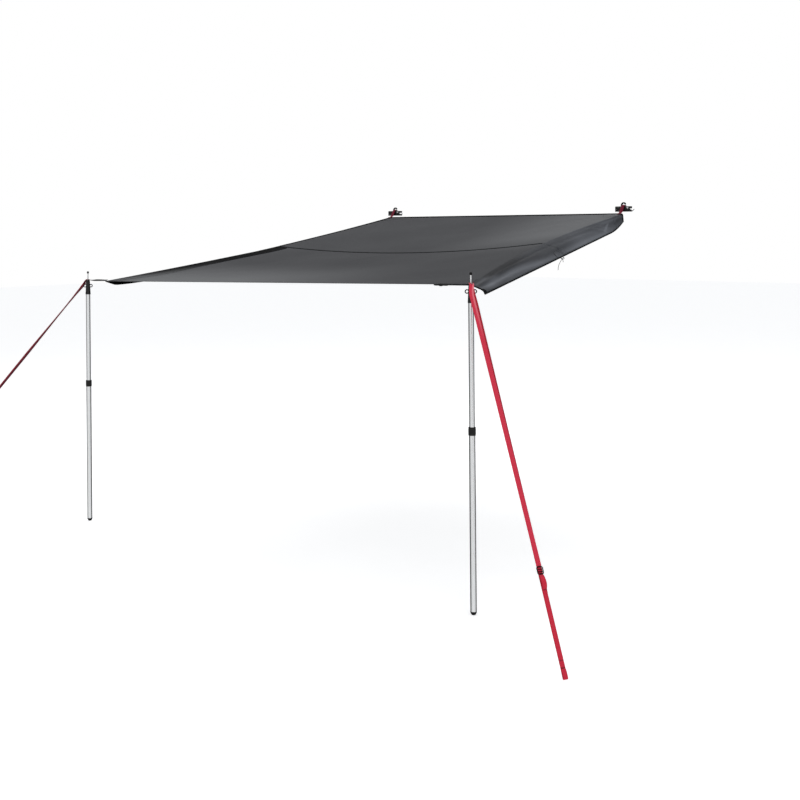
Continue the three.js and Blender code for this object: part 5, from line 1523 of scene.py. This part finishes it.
# Ribs as x, y and z in millimetres, the direction across them, and their radius
WALL_RIBS = [(x, -0.1, np.linspace(-8, 6, 5), rearwards, 0.9) for x in np.linspace(-38, 19, 7)]
TOP_RIBS = [(x, np.linspace(7, 15, 4), CLAMP_TOP, overhead, 0.8) for x in np.linspace(-46, 46, 10)]
GRIP = np.linspace(LOWER_FOOT + 1.5, LOWER_TOP - 1.5, 5)
GRIP_RIBS = [(x, -0.2, GRIP, rearwards, 1.1) for x in np.linspace(-47, 47, 20)]


def on_clamp(side, x, y, z):
    """Places on a clamp, in millimetres from the middle of its front wall."""
    spot = np.stack(np.broadcast_arrays(*(np.asarray(v, float) for v in (x, y, z))), -1)
    return place(OUTWARD[side] * CLAMP_REACH, CLAMP_FRONT, 0) + spot * MM


def ribs_on(side, ribs):
    """One thin rod for each rib."""
    return [
        swept("rib", on_clamp(side, x, y, z), across, round_profile(radius * MM, 8))
        for x, y, z, across, radius in ribs
    ]


outline = rounded_box_path(80, 15, 3)
for side in SIDES:
    clamp, jaw, cam = side + "_clamp_", side + "_clamp_moving_jaw", side + "_clamp_cam_lever"
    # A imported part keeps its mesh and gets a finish
    for node, finish in FINISHES.items():
        mesh = bpy.data.objects[side + node].data
        mesh.materials.clear()
        mesh.materials.append(finish)
    rim = on_clamp(side, outline[:, 0] - 9.5, -0.3, outline[:, 1] - 1)
    rims = [swept("rim", rim, rearwards, round_profile(1.0 * MM, 10), closed_path=True)]
    rims += ribs_on(side, WALL_RIBS + TOP_RIBS)
    grips = ribs_on(side, GRIP_RIBS)
    pin_place = on_clamp(side, CAM_REACH, PIN_PLACE, CAM_HEIGHT)
    pin = lathe(clamp + "pin_head", pin_place, millimetres(PIN_PROFILE), 48, axis=-rearwards)
    tongue, cheek = (
        swept(clamp + name, on_clamp(side, x, y, z), rearwards, bar_profile(wide * MM, high * MM))
        for name, x, y, z, wide, high in (
            ("lower_jaw_tongue", np.linspace(32, 51, 5), 2.2, -7.6, 1.5, 3.6),
            ("upper_jaw_cheek", np.linspace(31.5, 51, 5), 3.4, 3.4, 1.2, 7.8),
        )
    )
    upper_ribs = joined_pieces(clamp + "upper_jaw_ribs", rims)
    dressed(upper_ribs, black_plastic, "jaw_plastic", "awning")
    dressed(joined_pieces(clamp + "lower_jaw_grips", grips), black_plastic, "jaw_plastic", jaw)
    dressed(pin, bright_steel, "bright_steel", cam)
    dressed(tongue, black_plastic, "jaw_plastic", jaw)
    dressed(cheek, black_plastic, "jaw_plastic", "awning")
    print(clamp, "rim and ribs", len(rims), "grips", len(grips))

# %% [markdown]
# ## Hooks, levers and slings
# The hook is a bent bar of black coated steel on a hexagon base; a bar forged like this has rounded
# sides, so its section is a rounded rectangle that narrows to the tip. The lever is 4 mm spring
# wire that leaves the cam's head sideways, dips and rises to a thumb rest. The sling is a doubled
# loop of dark red webbing that comes down from the hook's throat, over the jaw, to the sheet.

# %% Hooks and levers
HOOK_X, HOOK_Y, HOOK_RADIUS, HOOK_RISE, HOOK_SPAN = -16, 25, 15, 8.5, math.radians(165)
HOOK_WIDTH, HOOK_DEPTH, LEVER_RADIUS = 5.8 * MM, 5.0 * MM, 2.1 * MM
HOOK_BASE = [
    (0.3, 0.2), (7.6, 0.2), (8, 0.6), (8, 2.2), (7.6, 2.6), (7, 3), (7, 3.6), (7, 7.2), (6.4, 7.8),
    (0.3, 7.8),
]
LEVER_START, LEVER_REACH, LEVER_DROP, LEVER_TIP_REACH, LEVER_TIP_RISE = 5, 28, 22, 17, 13
# Shares of the lever's reach and drop, then of its tip's reach and rise
LEVER_ARM = np.array([[0, 0], [0.2, 0], [0.46, 0.32], [0.85, 0.86], [1, 1]])
LEVER_TIP = np.array([[0.24, 0.15], [0.6, 0.55], [1, 1]])


def hexagon(angle, height):
    """Takes up to 0.9 mm off the base above 3.2 mm, where it is a nut: |sin 3 angle|."""
    return -0.9 * MM * np.abs(np.sin(3 * angle)) * (height > 3.2 * MM)


turn = np.pi - np.linspace(0, HOOK_SPAN, 32)
arc_x, arc_z = HOOK_X + HOOK_RADIUS * (1 + np.cos(turn)), HOOK_RISE + HOOK_RADIUS * np.sin(turn)
arm = LEVER_ARM * [LEVER_REACH, -LEVER_DROP] + [LEVER_START, 0]
route = np.concatenate([arm, arm[-1] + LEVER_TIP * [LEVER_TIP_REACH, LEVER_TIP_RISE]]).T
for side in SIDES:
    clamp = side + "_clamp_"
    post = on_clamp(side, HOOK_X, HOOK_Y, CLAMP_TOP + np.linspace(1, HOOK_RISE, 8)[:-1])
    bar_path = np.concatenate([post, on_clamp(side, arc_x, HOOK_Y, CLAMP_TOP + arc_z)])
    left = 1 - run_along(bar_path) / run_along(bar_path)[-1]
    slim = (0.45 + 0.55 * np.clip(left / 0.12, 0, 1) ** 0.6)[:, None, None]
    bar = swept("hook_bar", bar_path, rearwards, bar_profile(HOOK_WIDTH, HOOK_DEPTH) * slim)
    base_place = on_clamp(side, HOOK_X, HOOK_Y, CLAMP_TOP)
    base = lathe("hook_base", base_place, millimetres(HOOK_BASE), 72, ribs=hexagon)
    hook = joined_pieces(clamp + "bent_hook", [bar, base])
    dressed(hook, coated_wire, "black_steel", "awning", clamp + "hook")
    wire = on_clamp(side, CAM_REACH + route[0], -2.3, CAM_HEIGHT + route[1])
    wire = smooth_path(wire, 1.5 * MM)
    lever = swept(clamp + "spring_lever", wire, rearwards, round_profile(LEVER_RADIUS, 14))
    dressed(lever, spring_steel, "bright_steel", side + "_clamp_cam_lever", clamp + "wire_lever")
    print(clamp, "lever", round(run_along(wire)[-1] / MM), "mm of wire")

# %% Slings
SLING_WIDTH, SLING_THICKNESS, SLING_TACK_WIDTH = 21 * MM, 1.8 * MM, 22 * MM
# From behind the hook, through its throat and over the jaw's edge, then down onto the sheet:
# x, y and z in millimetres on the clamp
SLING_ROUTE = np.array([
    [5, 37, 16], [5, 28, 16.5], [5, 20, 19.5], [6, 12, 22], [6, 5, 20], [5, 0, 15], [4, -4, 8],
    [2.5, -8, -2], [0.5, -13, -14], [-1, -18, -25], [-2, -24, -31], [-3, -32, -34.5],
    [-4, -42, -36.3], [-4, -52, -37.6],
])
# How far each layer lies from that route
SLING_LAYERS = [(-2.6, 0.0, 0.0), (2.6, -0.63, 2.1)]
SLING_TACKS = [(-50, -34.4), (-46, -33.9), (-36, -32.4)]
sling_parts = []
for side in SIDES:
    routes = [on_clamp(side, *(SLING_ROUTE + layer).T) for layer in SLING_LAYERS]
    paths = [smooth_path(route, 3 * MM) for route in routes]
    layers = [webbing("layer", path, sideways, SLING_WIDTH, SLING_THICKNESS) for path in paths]
    sling = joined_pieces(side + "_clamp_sling_webbing", layers)
    dressed(sling, sling_webbing, "dark_red_webbing", "awning", side + "_clamp_sling")
    tacks = [
        tack_row(on_clamp(side, -4, y, z), sideways, -rearwards, overhead, SLING_TACK_WIDTH)
        for y, z in SLING_TACKS
    ]
    tack = stitch_mesh(side + "_sling_tacks", tacks, TACK_SIZE)
    dressed(tack, bar_tack_thread, "dark_red_webbing", "awning")
    sling_parts += [sling, tack]
    print(sling.name, "two layers of", round(run_along(paths[-1])[-1], 3), "m")

# %% Eyelets over the spikes
# A pressed eyelet is a ring rolled from sheet metal: a tube through the webbing with a round lip on
# both sides. Its profile is in millimetres from its own middle.
EYELET_BORE, EYELET_RIM, EYELET_HALF, LIP_FOOT = 7, 12.5, 2.3, 1.3
EYELET_NECK = [[9.2, 1.25], [9.2, -1.25]]
lip_turn = np.linspace(0, np.pi, 9)
lip_radius = (EYELET_BORE + EYELET_RIM) / 2 - (EYELET_RIM - EYELET_BORE) / 2 * np.cos(lip_turn)
lip = np.stack([lip_radius, LIP_FOOT + (EYELET_HALF - LIP_FOOT) * np.sin(lip_turn)], -1)
eyelet_profile = millimetres(np.concatenate([lip, EYELET_NECK, lip[::-1] * [1, -1]]))
for side in SIDES:
    eyelet = lathe(side + "_pressed_eyelet", eyelet_places[side], eyelet_profile, 48, ring=True)
    dressed(eyelet, bright_steel, "bright_steel", "awning", side + "_corner_eyelet")
print("eyelets", len(eyelet_places))

# %% Tie-out loops in the middle of the flaps' edges
LOOP_LENGTH, LOOP_DEPTH, LOOP_WALL, LOOP_WIDTH = 20 * MM, 13 * MM, 1.6 * MM, 12 * MM
TIE_FLAPS = {"right": (0.535, right_flap), "left": (0.5, left_flap)}
# The sewn root of a loop: how far it lies inside the edge and above it, in millimetres
LOOP_ROOT = [(-26, 1.4), (-13, 1.4), (0, 1.2)]


def edge_axes(side):
    """A tie loop's middle, and the directions out of the flap, along its edge and across both."""
    share, flap = TIE_FLAPS[side]
    t = share + np.array([-1, 0, 1]) * 1e-4
    edge, fold_line = flap(np.ones(3), t), flap(np.zeros(3), t)
    along = unit(edge[0] - edge[2])
    out = edge[1] - fold_line[1]
    out = unit(out - (out @ along) * along)
    return edge[1] + out * (LOOP_LENGTH / 2 + 0.6 * MM), out, along, np.cross(out, along)


theta = around(48)
rise = np.sign(np.sin(theta)) * np.abs(np.sin(theta)) ** 0.8
oval_out = (LOOP_LENGTH - LOOP_WALL) / 2 * np.cos(theta)
oval_up = (LOOP_DEPTH - LOOP_WALL) / 2 * rise
band = band_profile(LOOP_WIDTH, LOOP_WALL)
tie_loops = {}
for side in SIDES:
    middle, out, along, up = edge_axes(side)
    path = middle + np.outer(oval_out, out) + np.outer(oval_up, up)
    loop = swept("tie_loop", path, along, band, closed_path=True)
    root = middle - out * (LOOP_LENGTH / 2)
    path = np.array([root + inside * MM * out + lift * MM * up for inside, lift in LOOP_ROOT])
    sewn_root = webbing("tie_loop_root", path, along, LOOP_WIDTH, LOOP_WALL)
    tie_loops[side] = joined_pieces(side + "_tie_out_loop", [loop, sewn_root])
    dressed(tie_loops[side], black_webbing, "black_webbing", "awning", side + "_tie_loop")
    print(tie_loops[side].name, np.round(middle, 4).tolist())

# %% [markdown]
# ## The tie cord
# The cord under the right loop is a braided line 2.8 mm thick. Its hitch goes twice round the
# loop, and from there the free end hangs with the bend that it kept from being wound up.

# %% Cord and hitch
CORD_DIAMETER = 2.8 * MM
# Offsets from the knot, in millimetres
CORD_ROUTE = np.array([
    [0, 0, 0], [-5, -1, -6], [-10, -2, -14], [-15, -3, -23], [-20, -3, -33], [-24, -2, -44],
    [-26, -1, -54], [-26, -1, -63],
])
SHORT_ROUTE = np.array([[1, 0, 1], [4, -1, -3], [7, -2, -10], [8, -2, -18]])
HOOP_RADIUS, HOOP_SPACING = 2.4 * MM, 1.3 * MM
braid, tree, shader = new_material("grey_braided_cord", "#5c5d60", 0.75, {"Sheen Weight": 0.2})
uv = add_node(tree, "UVMap", uv_map="cloth")
flipped = add_node(tree, "Mapping", {"Vector": uv, "Scale": (-1.0, 1.0, 1.0)})
strands = [
    add_node(tree, "TexWave", {"Vector": way, "Scale": 220.0}, "Fac", bands_direction="DIAGONAL")
    for way in (uv, flipped)
]
crossed = add_node(tree, "Math", dict(enumerate(strands)), operation="MAXIMUM")
braid_stops = [(0.2, "#37383a"), (0.8, "#5f6063")]
braided = {"Height": crossed, "Distance": 0.25 * MM, "Strength": 0.6}
set_inputs(shader, {
    "Base Color": add_node(tree, "ValToRGB", {"Fac": crossed}, stops=braid_stops),
    "Normal": add_node(tree, "Bump", braided),
})

middle, out, along, up = edge_axes("right")
knot = middle - up * (LOOP_DEPTH / 2 + 0.6 * MM)
cord_path = smooth_path(knot + CORD_ROUTE * MM, 1.5 * MM)
cord_round = round_profile(CORD_DIAMETER / 2, 12)
tie_cord = swept("right_braided_tie_cord", cord_path, sideways, cord_round)
dressed(tie_cord, braid, "grey_cord", "awning", "right_tie_cord")
hoop = middle - up * (LOOP_DEPTH / 2 - 0.9 * MM)
hoop = hoop + HOOP_RADIUS * (np.outer(np.cos(theta), up) + np.outer(np.sin(theta), out))
hitch_round = round_profile(CORD_DIAMETER / 2, 10)
wraps = [
    swept("hitch", hoop + aside * along, along, hitch_round, closed_path=True)
    for aside in (-HOOP_SPACING, HOOP_SPACING)
]
short_end = smooth_path(knot + SHORT_ROUTE * MM, 1.5 * MM)
wraps.append(swept("short_end", short_end, rearwards, hitch_round))
hitch = dressed(joined_pieces("right_tie_cord_hitch", wraps), braid, "grey_cord", "awning")
print("cord", round(run_along(cord_path)[-1], 4), "m")

# %% Roll-up strap and its toggle
# The strap is a loop of webbing sewn under the front hem, which holds a turned toggle by its waist
TOGGLE_HALF, TOGGLE_RADIUS, TOGGLE_RISE = 44 * MM, 4.3 * MM, 5.5 * MM
STRAP_WIDTH, STRAP_WALL = 16 * MM, 1.4 * MM
toggle_middle = np.mean(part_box("rollup_toggle"), axis=0) + TOGGLE_RISE * overhead
reach = np.linspace(-1, 1, 41)
waist = 1 - 0.22 * bell(reach, 0, 0.2) - 0.10 * bell(np.abs(reach), 0.8, 0.03)
ends = np.sqrt(np.maximum(1 - np.abs(reach) ** 14, 0.02))
toggle_profile = np.stack([TOGGLE_RADIUS * waist * ends, TOGGLE_HALF * reach], -1)
toggle = lathe("rollup_turned_toggle", toggle_middle, toggle_profile, 40, axis=sideways)
dressed(toggle, black_plastic, "pole_plastic", "awning", "rollup_toggle")
loop_y, loop_z = (TOGGLE_RADIUS + MM) * np.sin(theta), (TOGGLE_RADIUS + 2 * MM) * np.cos(theta)
loop_path = toggle_middle + np.stack([0 * theta, loop_y, loop_z], -1)
band = band_profile(STRAP_WIDTH, STRAP_WALL)
rollup = swept("rollup_webbing_loop", loop_path, sideways, band, closed_path=True)
dressed(rollup, black_webbing, "black_webbing", "awning", "rollup_strap")
print("toggle", round(2 * TOGGLE_HALF, 3), "m long")

# %% [markdown]
# ## Floor, light and surroundings
# The photograph is a studio cut-out on white. A large pale floor and a pale world give that white
# to the camera, while the lamps stay at a plain level, so that the colours come out as written.

# %% What shiny things mirror
STUDIO = [
    (0.0, "#ffffff"), (0.3, "#f2f2f2"), (0.46, "#a0a0a0"), (0.6, "#505050"), (0.82, "#3c3c3c"),
    (1.0, "#707070"),
]
WHITE = linear("#ffffff")


def studio_mirrored(tree, direction, forward):
    """White behind the camera and a grey wall ahead, by a direction's cosine with forward."""
    ways = {0: direction, 1: forward.tolist()}
    facing = add_node(tree, "VectorMath", ways, "Value", operation="DOT_PRODUCT")
    share = add_node(tree, "MapRange", {"Value": facing, "From Min": -1.0, "From Max": 1.0})
    return add_node(tree, "ValToRGB", {"Fac": share}, stops=STUDIO)


print("grey levels in the mirrored studio", len(STUDIO))

# %% Floor
FLOOR_HALF, FLOOR_DROP, FLOOR_GLOW = 30, 2 * MM, 0.57
bpy.context.scene.view_settings.view_transform = "Standard"
corners = FLOOR_HALF * np.array([[-1, -1, 0], [1, -1, 0], [1, 1, 0], [-1, 1, 0]])
corners = corners + (GROUND - FLOOR_DROP) * overhead
floor = mesh_piece("floor", corners, [[0, 1, 2, 3]], closed=False)
white_floor, tree, shader = new_material("white_studio_floor", "#f4f4f4", 0.9)
shade_by(shader, grain_of(tree, 3.0), "#f2f2f2", "#f6f6f6")
# For the camera alone the floor gives off a little white, which lifts it to the photograph's white
# and leaves the shadow
rays = add_node(tree, "LightPath", out="Is Camera Ray")
glow = add_node(tree, "Math", {0: rays, 1: FLOOR_GLOW}, operation="MULTIPLY")
glow = add_node(tree, "Emission", {"Color": WHITE, "Strength": glow})
both = add_node(tree, "AddShader", {0: shader.outputs[0], 1: glow})
# A tube stands over the floor, so most of what it mirrors is floor: there it shows the same studio
backwards = add_node(tree, "NewGeometry", out="Incoming")
mirrored = {"Color": studio_mirrored(tree, backwards, -ahead), "Strength": 1.0}
mirrored = add_node(tree, "Emission", mirrored)
glossy = rays.node.outputs["Is Glossy Ray"]
surface = add_node(tree, "MixShader", {0: glossy, 1: both, 2: mirrored})
set_inputs(tree.nodes["Material Output"], {"Surface": surface})
floor.data.materials.append(white_floor)
print("floor at", GROUND - FLOOR_DROP)

# %% World
SKY_STRENGTH, MIRROR_STRENGTH = 0.48, 0.9
world = bpy.data.worlds.new("studio")
bpy.context.scene.world = world
world.use_nodes = True
sky = world.node_tree
sky.nodes.clear()
rays = add_node(sky, "LightPath", out="Is Camera Ray").node.outputs
seen = {0: rays["Is Camera Ray"], 1: rays["Is Transmission Ray"]}
seen = add_node(sky, "Math", seen, operation="MAXIMUM")
soft = add_node(sky, "Background", {"Color": linear("#f4f7fb"), "Strength": SKY_STRENGTH})
white = add_node(sky, "Background", {"Color": WHITE, "Strength": 1.0})
direction = add_node(sky, "TexCoord", out="Generated")
mirrored = {"Color": studio_mirrored(sky, direction, ahead), "Strength": MIRROR_STRENGTH}
mirrored = add_node(sky, "Background", mirrored)
mixed = add_node(sky, "MixShader", {0: rays["Is Glossy Ray"], 1: soft, 2: mirrored})
mixed = add_node(sky, "MixShader", {0: seen, 1: mixed, 2: white})
add_node(sky, "OutputWorld", {0: mixed})
print("world", world.name)

# %% Lamps
# Name, place, the point that the lamp faces, the side of its square, and its power in watts
LAMPS = [
    ("overhead_softbox", (-1.5, 0.5, 5.0), (0, -1.2, -0.6), 5.0, 170),
    ("front_softbox", (5.5, -6.0, 3.0), (0, -1.5, -1.0), 4.0, 110),
    ("left_softbox", (-6.0, -4.0, 2.5), (0, -1.5, -1.0), 4.0, 60),
]
for name, position, target, size, power in LAMPS:
    light = bpy.data.lights.new(name, "AREA")
    light.shape, light.size, light.energy = "SQUARE", size, power
    back = unit(np.array(position) - target)
    beside = unit(np.cross(overhead, back))
    stand(name, light, beside, np.cross(back, beside), back, position)
print("lamps", len(LAMPS))

# %% [markdown]
# ## The pieces on the sheet and the guys' bands
# The pieces that are sewn or tied to the sheet are gathered in one list, and the bands of each
# guy's legs and lower strap are looked up.

# %% Sheet and cords
on_sheet = sewn_pieces + [piece for side in SIDES for piece in corner_straps[side]]
on_sheet += sling_parts + list(tie_loops.values()) + [rollup]
print(len(on_sheet), "pieces on the sheet")
for side in SIDES:
    front, path = webbing_pieces[side, "front_leg"]
    back, path = webbing_pieces[side, "back_leg"]
    low, path = webbing_pieces[side, "lower_strap"]
